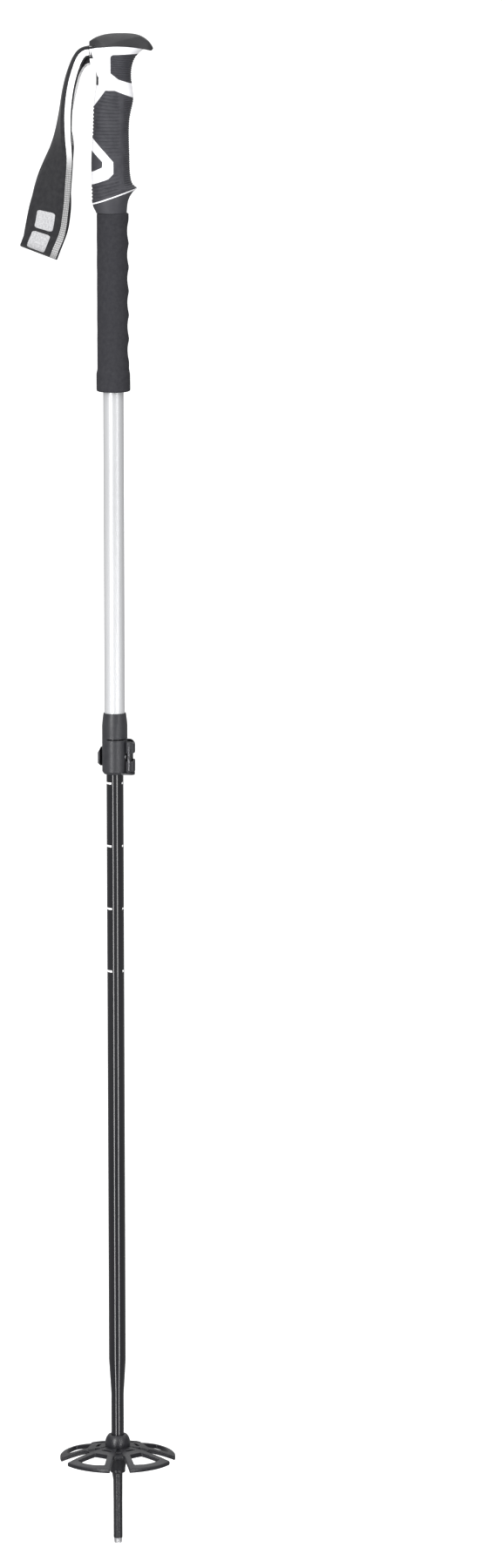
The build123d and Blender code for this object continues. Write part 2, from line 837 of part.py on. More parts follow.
bush_height = 13.0
bush_groove_bottom = 954.0
bush_groove_height = 5.0
bush_groove_radius = 6.0
bush_radius = upper_radius - upper_wall - fit_gap
with BuildPart() as guide_bush:
    with BuildSketch(Plane.XZ):
        with BuildLine():
            Polyline(
                (0, lower_top - 16),
                (lower_radius - lower_wall, lower_top - 16),
                (lower_radius - lower_wall, lower_top),
                (bush_radius, lower_top),
                (bush_radius, bush_groove_bottom),
                (bush_groove_radius, bush_groove_bottom),
                (bush_groove_radius, bush_groove_bottom + bush_groove_height),
                (bush_radius, bush_groove_bottom + bush_groove_height),
                (bush_radius, lower_top + bush_height - 1),
                (bush_radius - 1, lower_top + bush_height),
                (0, lower_top + bush_height),
                close=True,
            )
        make_face()
    revolve(axis=Axis.Z)
guide_bush.part.label = "guide_bush"
export_step(guide_bush.part, "parts/guide_bush.step")

with BuildPart() as bush_ring:
    with BuildSketch(Plane.XY.offset(bush_groove_bottom + 0.1)):
        Circle(bush_radius)
        Circle(bush_groove_radius + 0.02, mode=Mode.SUBTRACT)
        with Locations((lower_radius, 0)):
            Rectangle(4, 1.2, mode=Mode.SUBTRACT)
    extrude(amount=bush_groove_height - 0.2)
bush_ring.part.label = "bush_ring"
export_step(bush_ring.part, "parts/bush_ring.step")

# ---- Tip ---------------------------------------------------------------------------------

pin_radius = 2.0
pin_top = 14.0
with BuildPart() as ferrule:
    with BuildSketch(Plane.XZ):
        with BuildLine():
            Polyline(
                (pin_radius, ferrule_bottom),
                (ferrule_radius - 0.3, ferrule_bottom),
                (ferrule_radius, ferrule_bottom + 0.3),
                (ferrule_radius, ferrule_straight_top),
                (ferrule_root_radius, lower_bottom - 3),
                (ferrule_flange_radius, lower_bottom - 2),
                (ferrule_flange_radius, lower_bottom),
                (neck_radius - lower_wall - 0.02, lower_bottom),
                (neck_radius - lower_wall - 0.02, ferrule_plug_top),
                (0, ferrule_plug_top),
                (0, pin_top),
                (pin_radius, pin_top),
                close=True,
            )
        make_face()
    revolve(axis=Axis.Z)
    # a small wedge under the flange, at the back
    with BuildSketch(Plane.XZ):
        Polygon(
            (1.2 - ferrule_radius, rib_bottom),
            (-ferrule_radius, rib_bottom),
            (0.2 - ferrule_flange_radius, rib_top),
            (1.2 - ferrule_radius, rib_top),
            align=None,
        )
    extrude(amount=rib_width / 2, both=True)
ferrule.part.label = "ferrule"
export_step(ferrule.part, "parts/ferrule.step")

crown_teeth = 8
crown_radius = 3.0
with BuildPart() as carbide_tip:
    with BuildSketch(Plane.XZ):
        with BuildLine():
            Polyline(
                (0, pin_top),
                (pin_radius - 0.02, pin_top),
                (pin_radius - 0.02, ferrule_bottom),
                (ferrule_radius - 0.3, ferrule_bottom),
                (crown_radius, 0),
                (crown_radius - 0.8, 0),
                (1.2, 1.1),
                (0, 1.1),
                close=True,
            )
        make_face()
    revolve(axis=Axis.Z)
    # teeth round the rim of the hollow end
    with PolarLocations(crown_radius, crown_teeth):
        Box(2.2, 0.7, 1.6, mode=Mode.SUBTRACT)
carbide_tip.part.label = "carbide_tip"
export_step(carbide_tip.part, "parts/carbide_tip.step")

# ---- Basket ------------------------------------------------------------------------------

hub_top_radius = sqrt(hub_radius**2 - (hub_top - basket_hub_centre) ** 2)
hub_waist_z = basket_hub_centre - sqrt(hub_radius**2 - hub_waist_radius**2)
with BuildPart() as basket_hub:
    with BuildSketch(Plane.XZ):
        with BuildLine():
            Polyline(
                (hub_waist_radius, hub_waist_z),
                (hub_foot_radius, hub_foot),
                (basket_bore, hub_foot),
                (basket_bore, hub_top),
                (hub_top_radius, hub_top),
            )
            ThreePointArc(
                (hub_top_radius, hub_top),
                (hub_radius, basket_hub_centre),
                (hub_waist_radius, hub_waist_z),
            )
        make_face()
    revolve(axis=Axis.Z)
basket_hub.part.label = "basket_hub"
export_step(basket_hub.part, "parts/basket_hub.step")

with BuildPart() as basket_lock_ring:
    with BuildSketch(Plane.XY.offset(hub_foot - ring_length)):
        Circle(hub_foot_radius)
        Circle(basket_bore, mode=Mode.SUBTRACT)
    extrude(amount=ring_length)
    rim = basket_lock_ring.edges().group_by(Axis.Z)[0].sort_by(SortBy.RADIUS)[-1]
    chamfer(rim, 0.5)
basket_lock_ring.part.label = "basket_lock_ring"
export_step(basket_lock_ring.part, "parts/basket_lock_ring.step")

half_petal = petal_angle / 2
half_notch = 180 / petal_count - half_petal
notch_spread = beyond_disc * tan(radians(half_notch))
# what comes off the top of the webs between the petals
with BuildPart() as web_shave:
    with BuildSketch(Plane.XZ):
        with BuildLine():
            ThreePointArc(
                (disc_inner, disc_top_inner - web_step),
                (disc_halfway, disc_top_halfway - web_step),
                (basket_radius, disc_top_rim - web_step),
            )
            Polyline(
                (basket_radius, disc_top_rim - web_step),
                (basket_radius, disc_above),
                (disc_inner, disc_above),
                (disc_inner, disc_top_inner - web_step),
            )
        make_face()
    revolve(axis=Axis.Z)
    with BuildSketch(Plane.XY):
        with PolarLocations(0, petal_count, start_angle=first_petal + 180 / petal_count):
            Polygon(
                (6.0, 0),
                (beyond_disc, -notch_spread),
                (beyond_disc, notch_spread),
                align=None,
            )
    extrude(amount=2 * basket_radius, mode=Mode.INTERSECT)

with BuildPart() as basket_petals:
    # the umbrella-shaped disc that the petals are cut from
    with BuildSketch(Plane.XZ):
        with BuildLine():
            ThreePointArc(
                (disc_inner, disc_top_inner),
                (disc_halfway, disc_top_halfway),
                (basket_radius - bevel_size, disc_top_rim),
            )
            Polyline(
                (basket_radius - bevel_size, disc_top_rim),
                (basket_radius, disc_top_rim - bevel_size),
                (basket_radius, disc_bottom_rim + bevel_size),
                (basket_radius - bevel_size, disc_bottom_rim),
            )
            ThreePointArc(
                (basket_radius - bevel_size, disc_bottom_rim),
                (disc_halfway, disc_bottom_halfway),
                (disc_inner, disc_bottom_inner),
            )
            Line((disc_inner, disc_bottom_inner), (disc_inner, disc_top_inner))
        make_face()
    revolve(axis=Axis.Z)
    for petal in range(petal_count):
        turn = first_petal + 360 / petal_count * petal
        petal_plane = Plane.XY.rotated((0, 0, turn))
        web_plane = Plane.XY.rotated((0, 0, turn + 180 / petal_count))
        # the large window inside each petal's frame
        with BuildSketch(petal_plane) as window:
            with BuildLine():
                inner = window_corner(window_inner)
                outer = window_corner(window_outer)
                Polyline(
                    (outer[0], outer[1]),
                    (inner[0], inner[1]),
                    (inner[0], -inner[1]),
                    (outer[0], -outer[1]),
                )
                ThreePointArc(
                    (outer[0], -outer[1]),
                    (basket_radius - petal_frame, 0),
                    (outer[0], outer[1]),
                )
            make_face()
            fillet(window.vertices(), window_corner_radius)
            with Locations((slot_row_radius, 0)):
                SlotOverall(9.0, 2.8, rotation=90)
        extrude(amount=2 * basket_radius, mode=Mode.SUBTRACT)
        # the notch between two petals, and the small slot behind it
        with BuildSketch(web_plane) as notch:
            with BuildLine():
                Polyline(
                    (notch_inner, -notch_inner * tan(radians(half_notch))),
                    (beyond_disc, -notch_spread),
                    (beyond_disc, notch_spread),
                    (notch_inner, notch_inner * tan(radians(half_notch))),
                    close=True,
                )
            make_face()
            fillet(notch.vertices().sort_by(Axis.X)[:2], 2.0)
            with Locations((slot_row_radius + 1.2, 0)):
                SlotOverall(6.0, 2.6, rotation=90)
        extrude(amount=2 * basket_radius, mode=Mode.SUBTRACT)
    add(web_shave.part, mode=Mode.SUBTRACT)
    add(basket_hub.part, mode=Mode.SUBTRACT)
    Cylinder(hub_foot_radius, 4 * basket_radius, mode=Mode.SUBTRACT)
basket_petals.part.label = "basket_petals"
export_step(basket_petals.part, "parts/basket_petals.step")
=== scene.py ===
import math

import bmesh
import bpy
import numpy as np
from mathutils import Matrix, Vector
from mathutils.bvhtree import BVHTree


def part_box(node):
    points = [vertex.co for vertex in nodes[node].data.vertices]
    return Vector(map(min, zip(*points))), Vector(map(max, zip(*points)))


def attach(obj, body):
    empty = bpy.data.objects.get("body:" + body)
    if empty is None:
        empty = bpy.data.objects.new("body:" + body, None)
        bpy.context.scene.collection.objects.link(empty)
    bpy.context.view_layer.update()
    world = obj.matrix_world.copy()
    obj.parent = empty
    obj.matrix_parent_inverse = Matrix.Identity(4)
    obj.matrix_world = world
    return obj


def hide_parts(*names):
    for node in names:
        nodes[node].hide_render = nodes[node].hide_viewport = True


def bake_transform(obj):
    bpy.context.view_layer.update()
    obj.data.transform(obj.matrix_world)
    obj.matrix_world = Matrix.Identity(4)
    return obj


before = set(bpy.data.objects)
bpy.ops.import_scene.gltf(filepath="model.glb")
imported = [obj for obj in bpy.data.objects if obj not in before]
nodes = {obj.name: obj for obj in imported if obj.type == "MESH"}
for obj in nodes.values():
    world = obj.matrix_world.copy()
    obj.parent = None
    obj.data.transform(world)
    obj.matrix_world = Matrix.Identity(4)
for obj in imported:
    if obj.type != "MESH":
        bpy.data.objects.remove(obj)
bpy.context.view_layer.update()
rng = np.random.default_rng(7)
MM = 0.001
WELD = 1e-7  # vertices nearer than this are one vertex
BANDS_PER_SCALE = 20 / (2 * math.pi)  # of the wave texture

# ---- Node materials ----------------------------------------------------------------------


class Look:
    """A node material around one Principled shader, with helpers to add layers to it."""

    def __init__(self, name, colour, roughness, metallic=0.0, specular=0.5):
        self.slot = name
        self.material = bpy.data.materials.new("look_" + name)
        self.material.use_nodes = True
        self.nodes = self.material.node_tree.nodes
        self.links = self.material.node_tree.links
        self.shader = self.nodes["Principled BSDF"]
        self.shader.inputs["Base Color"].default_value = (*colour, 1)
        self.shader.inputs["Roughness"].default_value = roughness
        self.shader.inputs["Metallic"].default_value = metallic
        self.shader.inputs["Specular IOR Level"].default_value = specular
        self.last_normal = None

    def node(self, kind, **values):
        made = self.nodes.new(kind)
        for key, value in values.items():
            setattr(made, key, value)
        return made

    def coordinates(self, stretch=(1, 1, 1), uv=False):
        """Object coordinates in metres, or the piece's own UV map in metres, stretched."""
        mapping = self.node("ShaderNodeMapping")
        mapping.inputs["Scale"].default_value = stretch
        if uv:
            source = self.node("ShaderNodeUVMap", uv_map="run").outputs["UV"]
        else:
            source = self.node("ShaderNodeTexCoord").outputs["Object"]
        self.links.new(source, mapping.inputs["Vector"])
        return mapping.outputs["Vector"]

    def noise(self, size, detail=3.0, stretch=(1, 1, 1), uv=False):
        """Noise with grains of about this size, in metres."""
        made = self.node("ShaderNodeTexNoise")
        made.inputs["Scale"].default_value = 1 / size
        made.inputs["Detail"].default_value = detail
        self.links.new(self.coordinates(stretch, uv), made.inputs["Vector"])
        return made.outputs["Fac"]

    def cells(self, size):
        made = self.node("ShaderNodeTexVoronoi", feature="F1")
        made.inputs["Scale"].default_value = 1 / size
        self.links.new(self.coordinates(), made.inputs["Vector"])
        return made.outputs["Distance"]

    def waves(self, size, direction, uv=False, distortion=0.0):
        """Bands this far apart, in metres."""
        made = self.node("ShaderNodeTexWave", bands_direction=direction)
        made.inputs["Scale"].default_value = 1 / size / BANDS_PER_SCALE
        made.inputs["Distortion"].default_value = distortion
        made.inputs["Detail"].default_value = 0
        self.links.new(self.coordinates(uv=uv), made.inputs["Vector"])
        return made.outputs["Fac"]

    def math(self, operation, a, b):
        made = self.node("ShaderNodeMath", operation=operation)
        for socket, value in zip(made.inputs, (a, b)):
            if isinstance(value, (int, float)):
                socket.default_value = value
            else:
                self.links.new(value, socket)
        return made.outputs["Value"]

    def spread(self, source, low, high, to_low, to_high):
        made = self.node("ShaderNodeMapRange")
        self.links.new(source, made.inputs["Value"])
        made.inputs["From Min"].default_value = low
        made.inputs["From Max"].default_value = high
        made.inputs["To Min"].default_value = to_low
        made.inputs["To Max"].default_value = to_high
        return made.outputs["Result"]

    def tint(self, source, dark, light, low=0.35, high=0.65):
        """Base colour that goes from dark to light with the source."""
        ramp = self.node("ShaderNodeValToRGB")
        ramp.color_ramp.elements[0].position = low
        ramp.color_ramp.elements[0].color = (*dark, 1)
        ramp.color_ramp.elements[1].position = high
        ramp.color_ramp.elements[1].color = (*light, 1)
        self.links.new(source, ramp.inputs["Fac"])
        self.links.new(ramp.outputs["Color"], self.shader.inputs["Base Color"])
        return self

    def roughen(self, source, low, high):
        result = self.spread(source, 0.3, 0.7, low, high)
        self.links.new(result, self.shader.inputs["Roughness"])
        return self

    def bump(self, source, height, strength=1.0):
        """Adds a layer of relief, height in metres."""
        made = self.node("ShaderNodeBump")
        made.inputs["Distance"].default_value = height
        made.inputs["Strength"].default_value = strength
        self.links.new(source, made.inputs["Height"])
        if self.last_normal is not None:
            self.links.new(self.last_normal, made.inputs["Normal"])
        self.last_normal = made.outputs["Normal"]
        self.links.new(self.last_normal, self.shader.inputs["Normal"])
        return self


white = Look("white_plastic", (0.8, 0.8, 0.825), 0.3)
white.tint(white.noise(0.012), (0.78, 0.78, 0.81), (0.82, 0.82, 0.84))
white.roughen(white.noise(0.004, 4), 0.26, 0.36)
white.bump(white.noise(0.0007, 2), 0.00002, 0.5)

ribbed = Look("ribbed_rubber", (0.035, 0.035, 0.04), 0.6, specular=0.3)
ribbed.tint(ribbed.noise(0.006, 5), (0.03, 0.03, 0.036), (0.042, 0.042, 0.049))
ribbed.roughen(ribbed.noise(0.002, 4), 0.5, 0.68)
ribbed.bump(ribbed.noise(0.0003, 2), 0.00004, 0.6)

smooth = Look("smooth_rubber", (0.035, 0.035, 0.04), 0.58, specular=0.3)
smooth.tint(smooth.noise(0.01, 4), (0.032, 0.032, 0.038), (0.042, 0.042, 0.048))
smooth.roughen(smooth.noise(0.003, 4), 0.48, 0.64)
smooth.bump(smooth.noise(0.00035, 2), 0.00003, 0.6)

cap_look = Look("cap_rubber", (0.029, 0.029, 0.031), 0.55, specular=0.25)
cap_look.tint(cap_look.noise(0.012, 4), (0.026, 0.026, 0.028), (0.032, 0.032, 0.034))
cap_look.roughen(cap_look.noise(0.003, 4), 0.5, 0.64)
cap_look.bump(cap_look.noise(0.0004, 2), 0.00003, 0.6)

foam = Look("foam", (0.027, 0.027, 0.031), 0.93, specular=0.12)
foam.tint(foam.noise(0.003, 5), (0.025, 0.025, 0.029), (0.031, 0.031, 0.035))
foam.roughen(foam.noise(0.001, 3), 0.86, 0.98)
foam.bump(foam.cells(0.0007), 0.00006, 0.6)
foam.bump(foam.noise(0.0025, 3), 0.0001, 0.4)

silver = Look("silver_tube", (0.44, 0.445, 0.455), 0.32, metallic=0.25)
silver.tint(silver.noise(0.02, 3, (1, 1, 0.1)), (0.42, 0.425, 0.435), (0.46, 0.465, 0.475))
silver.roughen(silver.noise(0.0012, 3, (1, 1, 0.02)), 0.28, 0.38)
silver.bump(silver.noise(0.0003, 2, (1, 1, 0.02)), 0.00001, 0.4)

black = Look("black_tube", (0.007, 0.007, 0.009), 0.08, specular=0.5)
black.tint(black.noise(0.02, 3, (1, 1, 0.1)), (0.006, 0.006, 0.0075), (0.009, 0.009, 0.0105))
black.roughen(black.noise(0.002, 4, (1, 1, 0.05)), 0.06, 0.11)
black.bump(black.noise(0.0006, 2, (1, 1, 0.05)), 0.00001, 0.2)

clamp_look = Look("clamp_plastic", (0.023, 0.0235, 0.0265), 0.38, specular=0.3)
clamp_look.tint(clamp_look.noise(0.005, 4), (0.021, 0.0215, 0.0245), (0.026, 0.0265, 0.0295))
clamp_look.roughen(clamp_look.noise(0.0015, 4), 0.35, 0.42)
clamp_look.bump(clamp_look.noise(0.0004, 3), 0.00002, 0.4)

dark_steel = Look("black_steel", (0.09, 0.09, 0.095), 0.38, metallic=1.0)
dark_steel.tint(dark_steel.noise(0.0015, 3), (0.075, 0.075, 0.08), (0.11, 0.11, 0.115))
dark_steel.roughen(dark_steel.noise(0.0008, 3), 0.3, 0.46)
dark_steel.bump(dark_steel.noise(0.0002, 2), 0.00001, 0.5)

steel = Look("steel", (0.8, 0.8, 0.82), 0.3, metallic=1.0)
steel.tint(steel.noise(0.002, 3), (0.75, 0.75, 0.77), (0.86, 0.86, 0.88))
steel.roughen(steel.noise(0.0008, 3), 0.24, 0.42)
steel.bump(steel.noise(0.0002, 2), 0.00001, 0.5)

inner = Look("inner_plastic", (0.06, 0.06, 0.065), 0.45)
inner.tint(inner.noise(0.003, 3), (0.055, 0.055, 0.06), (0.068, 0.068, 0.073))
inner.roughen(inner.noise(0.001, 3), 0.4, 0.52)
inner.bump(inner.noise(0.0004, 2), 0.00003, 0.5)

ferrule_look = Look("ferrule_plastic", (0.011, 0.011, 0.013), 0.24, specular=0.45)
ferrule_look.tint(ferrule_look.noise(0.006, 4), (0.0095, 0.0095, 0.0115), (0.0135, 0.0135, 0.0155))
ferrule_look.roughen(ferrule_look.noise(0.002, 4), 0.18, 0.3)
ferrule_look.bump(ferrule_look.noise(0.0005, 3), 0.00002, 0.4)

tip_look = Look("tip_metal", (0.7, 0.7, 0.72), 0.3, metallic=1.0)
tip_look.tint(tip_look.noise(0.001, 3), (0.62, 0.62, 0.64), (0.78, 0.78, 0.8))
tip_look.roughen(tip_look.noise(0.0006, 3), 0.25, 0.45)
tip_look.bump(tip_look.noise(0.0002, 2), 0.00002, 0.6)

basket_look = Look("basket_plastic", (0.01, 0.01, 0.012), 0.33, specular=0.3)
basket_look.tint(basket_look.noise(0.01, 4), (0.0085, 0.0085, 0.0105), (0.0125, 0.0125, 0.0145))
basket_look.roughen(basket_look.noise(0.003, 4), 0.28, 0.4)
basket_look.bump(basket_look.noise(0.0005, 3), 0.00003, 0.4)

# Webbing: the run map has the length along the strap in U and the width in V, in metres
panel = Look("webbing_panel", (0.016, 0.016, 0.018), 0.85, specular=0.2)
panel.shader.inputs["Sheen Weight"].default_value = 0.12
panel.tint(panel.noise(0.004, 4, uv=True), (0.013, 0.013, 0.015), (0.02, 0.02, 0.022))
panel.roughen(panel.noise(0.001, 3, uv=True), 0.76, 0.92)
panel_weft = panel.waves(0.0009, "X", uv=True)
panel_warp = panel.waves(0.0012, "Y", uv=True)
panel.bump(panel.math("MULTIPLY", panel_weft, panel_warp), 0.00012, 0.8)

# Painted light: the stripe is painted white near the grip, where it faces the light; round the toe
# it is its own grey with light and dark picks
stripe_toe_at = 0.178
stripe = Look("webbing_stripe", (0.85, 0.85, 0.86), 0.6, specular=0.3)
stripe_run = stripe.node("ShaderNodeSeparateXYZ")
stripe.links.new(stripe.coordinates(uv=True), stripe_run.inputs["Vector"])
toe_distance = stripe.math("SUBTRACT", stripe_run.outputs["X"], stripe_toe_at)
toe_distance = stripe.math("ABSOLUTE", toe_distance, 0.0)
# painted light: the stripe is painted whiter the farther it is from the toe, in place of the light
# falling on it near the grip
painted_light_near_grip = stripe.spread(toe_distance, 0.074, 0.094, 0.0, 1.0)
stripe_weft = stripe.waves(0.0016, "X", uv=True, distortion=1.2)
stripe_warp = stripe.waves(0.0013, "Y", uv=True, distortion=1.2)
stripe_weave = stripe.math("MULTIPLY", stripe_weft, stripe_warp)
picks = stripe.spread(stripe_weave, 0.1, 0.7, 0.0, 0.45)
# the grey with woven picks is the stripe's own colour; the white near the grip is painted light
stripe.tint(
    stripe.math("MAXIMUM", painted_light_near_grip, picks), (0.2, 0.2, 0.2), (0.88, 0.88, 0.885), 0.0, 1.0
)
stripe.roughen(stripe.noise(0.001, 3, uv=True), 0.48, 0.66)
stripe.bump(stripe_weave, 0.0001, 0.7)

mark_look = Look("woven_mark", (0.36, 0.36, 0.37), 0.6, specular=0.3)
mark_look.tint(mark_look.noise(0.0012, 3, uv=True), (0.3, 0.3, 0.31), (0.44, 0.44, 0.45))
mark_look.bump(mark_look.waves(0.0009, "X", uv=True), 0.00012, 0.9)

print_look = Look("scale_print", (0.8, 0.8, 0.8), 0.5, specular=0.3)
print_look.tint(print_look.noise(0.0008, 4), (0.55, 0.55, 0.55), (0.88, 0.88, 0.88))
print_look.roughen(print_look.noise(0.0006, 3), 0.42, 0.6)

# ---- Helpers for meshes ------------------------------------------------------------------


def finish_piece(name, mesh, looks, body, replaced=(), smooth_angle=None):
    """Makes an object of the mesh with its materials, ties it to its body and hides the CAD nodes
    it replaces.
    """
    piece = bpy.data.objects.new(name, mesh)
    bpy.context.scene.collection.objects.link(piece)
    for look in looks:
        mesh.materials.append(look.material)
    mesh.shade_smooth()
    if smooth_angle:
        mesh.set_sharp_from_angle(angle=math.radians(smooth_angle))
    if body:
        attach(piece, body)
    if replaced:
        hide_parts(*replaced)
    return piece


def apply_modifiers(piece):
    graph = bpy.context.evaluated_depsgraph_get()
    graph.update()
    mesh = bpy.data.meshes.new_from_object(piece.evaluated_get(graph))
    piece.modifiers.clear()
    piece.data = mesh
    return piece


def moulded(name, node, look, body, voxel, rounds, keep):
    """A CAD piece made again with softly rounded edges, as a moulding has.

    voxel is the remesh's grid in metres, rounds the smoothing and keep the share of faces kept.
    """
    mesh = nodes[node].data.copy()
    mesh.materials.clear()
    mesh.name = name
    piece = bpy.data.objects.new(name, mesh)
    bpy.context.scene.collection.objects.link(piece)
    remesh = piece.modifiers.new("voxels", "REMESH")
    remesh.mode = "VOXEL"
    remesh.voxel_size = voxel
    apply_modifiers(piece)
    relax(piece.data, rounds)
    thin = piece.modifiers.new("thin", "DECIMATE")
    thin.ratio = keep
    apply_modifiers(piece)
    piece.data.materials.clear()
    piece.data.materials.append(look.material)
    piece.data.shade_smooth()
    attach(piece, body)
    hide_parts(node)
    return piece


smoothing_step, step_back = 0.6, 0.62


def relax(mesh, rounds):
    """Laplacian smoothing with a step back each round, so that the piece doesn't shrink."""
    count = len(mesh.vertices)
    points = vertices_of(mesh)
    edges = np.zeros(len(mesh.edges) * 2, np.int32)
    mesh.edges.foreach_get("vertices", edges)
    a, b = edges[0::2], edges[1::2]
    degree = np.bincount(a, minlength=count) + np.bincount(b, minlength=count)
    for _ in range(rounds):
        for step in (smoothing_step, -step_back):
            total = np.zeros_like(points)
            for axis in range(3):
                total[:, axis] = np.bincount(a, points[b, axis], count)
                total[:, axis] += np.bincount(b, points[a, axis], count)
            points = points + step * (total / degree[:, None] - points)
    mesh.vertices.foreach_set("co", points.ravel())
    mesh.update()


def face_outwards(mesh, weld=False):
    bm = bmesh.new()
    bm.from_mesh(mesh)
    if weld:
        bmesh.ops.remove_doubles(bm, verts=bm.verts, dist=WELD)
    bmesh.ops.recalc_face_normals(bm, faces=bm.faces)
    bm.to_mesh(mesh)
    bm.free()


def vertices_of(mesh):
    points = np.zeros(len(mesh.vertices) * 3)
    mesh.vertices.foreach_get("co", points)
    return points.reshape(-1, 3)


def grid_mesh(name, points, cap_ends=False):
    """Mesh of a grid of points, rows by columns; each row closes round."""
    rows, columns = points.shape[:2]
    faces = []
    for row in range(rows - 1):
        for column in range(columns):
            beside = (column + 1) % columns
            faces.append(
                (
                    row * columns + column,
                    row * columns + beside,
                    (row + 1) * columns + beside,
                    (row + 1) * columns + column,
                )
            )
    if cap_ends:
        faces.append(tuple(range(columns))[::-1])
        faces.append(tuple((rows - 1) * columns + c for c in range(columns)))
    mesh = bpy.data.meshes.new(name)
    mesh.from_pydata(points.reshape(-1, 3).tolist(), [], faces)
    mesh.validate()
    mesh.update()
    return mesh


def smoothstep(value, low, high):
    t = np.clip((value - low) / (high - low), 0, 1)
    return t * t * (3 - 2 * t)


def curve_through(keys, values, at):
    """Smooth values at the given keys (Catmull-Rom with uneven spacing)."""
    keys = np.asarray(keys, float)
    values = np.asarray(values, float)
    slopes = np.gradient(values, keys, axis=0)
    index = np.clip(np.searchsorted(keys, at) - 1, 0, len(keys) - 2)
    width = keys[index + 1] - keys[index]
    t = (np.asarray(at) - keys[index]) / width
    if values.ndim > 1:
        t, width = t[:, None], width[:, None]
    t2, t3 = t * t, t * t * t
    return (
        (2 * t3 - 3 * t2 + 1) * values[index]
        + (t3 - 2 * t2 + t) * width * slopes[index]
        + (-2 * t3 + 3 * t2) * values[index + 1]
        + (t3 - t2) * width * slopes[index + 1]
    )


# ---- Plain CAD nodes that only need their materials ---------------------------------------

looks_by_node = {
    "grip_core": white,
    "grip_trim_ring": white,
    "grip_thumb_pad": ribbed,
    "grip_palm_pad": ribbed,
    "grip_rear_pad": smooth,
    "grip_collar": smooth,
    "grip_cap": cap_look,
    "shaft_plug": inner,
    "foam_grip": foam,
    "upper_shaft": silver,
    "clamp_body": clamp_look,
    "clamp_lever": clamp_look,
    "plate_peg": steel,
    "cam_plate": dark_steel,
    "screw_washer": dark_steel,
    "tension_screw": dark_steel,
    "barrel_nut": dark_steel,
    "strap_wedge": inner,
    "strap_ends": panel,
    "strap_tail": panel,
    "strap_loop": panel,
    "lower_shaft": black,
    "guide_bush": inner,
    "bush_ring": smooth,
    "ferrule": ferrule_look,
    "carbide_tip": tip_look,
    "basket_hub": basket_look,
    "basket_petals": basket_look,
    "basket_lock_ring": basket_look,
}
for node_name, look in looks_by_node.items():
    node = nodes[node_name]
    if node.material_slots:
        for material_slot in node.material_slots:
            material_slot.link = "OBJECT"
            material_slot.material = look.material
    else:
        node.data.materials.append(look.material)

# ---- Grip pads: the grip's own outer form, ribbed, cut to each pad's outline ---------------

grip_bottom, grip_top = 1063.0, 1192.0
row_height = 0.3
grip_columns = 176
grip_nodes = ("grip_core", "grip_thumb_pad", "grip_palm_pad", "grip_rear_pad", "grip_collar")


def grip_radii(heights, angles):
    """Radius of the CAD grip's outer skin at each height and angle, in millimetres."""
    points, faces = [], []
    for name in grip_nodes:
        mesh = nodes[name].data
        start = len(points)
        points.extend(v.co.copy() for v in mesh.vertices)
        faces.extend(tuple(start + i for i in p.vertices) for p in mesh.polygons)
    tree = BVHTree.FromPolygons(points, faces)
    far = 0.08
    radii = np.zeros((len(heights), len(angles)))
    for i, height in enumerate(heights):
        for j, angle in enumerate(angles):
            outward = Vector((math.cos(angle), math.sin(angle), 0))
            start = outward * far + Vector((0, 0, height * MM))
            hit = tree.ray_cast(start, -outward)
            radii[i, j] = (far - hit[3]) / MM if hit[0] else 0
    return radii


def outline_distance(x, z, corners):
    """Signed distance to a closed outline in the side view, positive inside."""
    corners = np.asarray(corners, float)
    nearest = np.full(x.shape, 1e9)
    inside = np.zeros(x.shape, bool)
    for (ax, az), (bx, bz) in zip(corners, np.roll(corners, -1, axis=0)):
        length = (bx - ax) ** 2 + (bz - az) ** 2
        t = np.clip(((x - ax) * (bx - ax) + (z - az) * (bz - az)) / length, 0, 1)
        nearest = np.minimum(nearest, np.hypot(x - ax - t * (bx - ax), z - az - t * (bz - az)))
        crosses = (az > z) != (bz > z)
        with np.errstate(divide="ignore", invalid="ignore"):
            at = ax + (z - az) * (bx - ax) / (bz - az)
        inside ^= crosses & (x < at)
    return np.where(inside, nearest, -nearest)


def scallops(phase):
    """Rounded ribs with narrow grooves: 0 on the rib and 1 in the groove."""
    return np.abs(np.cos(math.pi * phase)) ** 3


reach = 40.0
thumb_outline = [(-1.1, 1183.0), (0.9, 1185.0), (reach, 1186.0), (reach, 1154.2), (15.0, 1162.6)]
thumb_outline += [(5.0, 1166.0), (-1.1, 1171.0)]
palm_outline = [(-reach, 1145.0), (-14.2, 1145.0), (-5.1, 1157.6), (2.2, 1157.6), (16.4, 1151.7)]
palm_outline += [(reach, 1141.9), (reach, 1089.23), (-reach, 1061.69), (-reach, 1075.6)]
palm_outline += [(-15.5, 1084.7), (-3.1, 1089.3), (0.9, 1093.3), (0.9, 1102.4)]
palm_outline += [(-14.9, 1120.2), (-reach, 1120.2)]
rear_outline = [(-reach, 1111.0), (-16.0, 1111.0), (-7.5, 1102.4), (-7.8, 1098.2)]
rear_outline += [(-16.0, 1094.3), (-reach, 1094.3)]

heights = np.arange(grip_bottom, grip_top + row_height / 2, row_height)
angles = np.linspace(0, 2 * math.pi, grip_columns, endpoint=False)
skin = grip_radii(heights, angles)
side_x = skin * np.cos(angles)[None, :]
side_z = np.repeat(heights[:, None], grip_columns, axis=1)


flank_pitch, flank_depth = 2.7, 0.7
front_pitch, front_depth = 1.7, 0.55
thumb_pitch, thumb_depth = 1.7, 0.6
rib_slope = 0.1


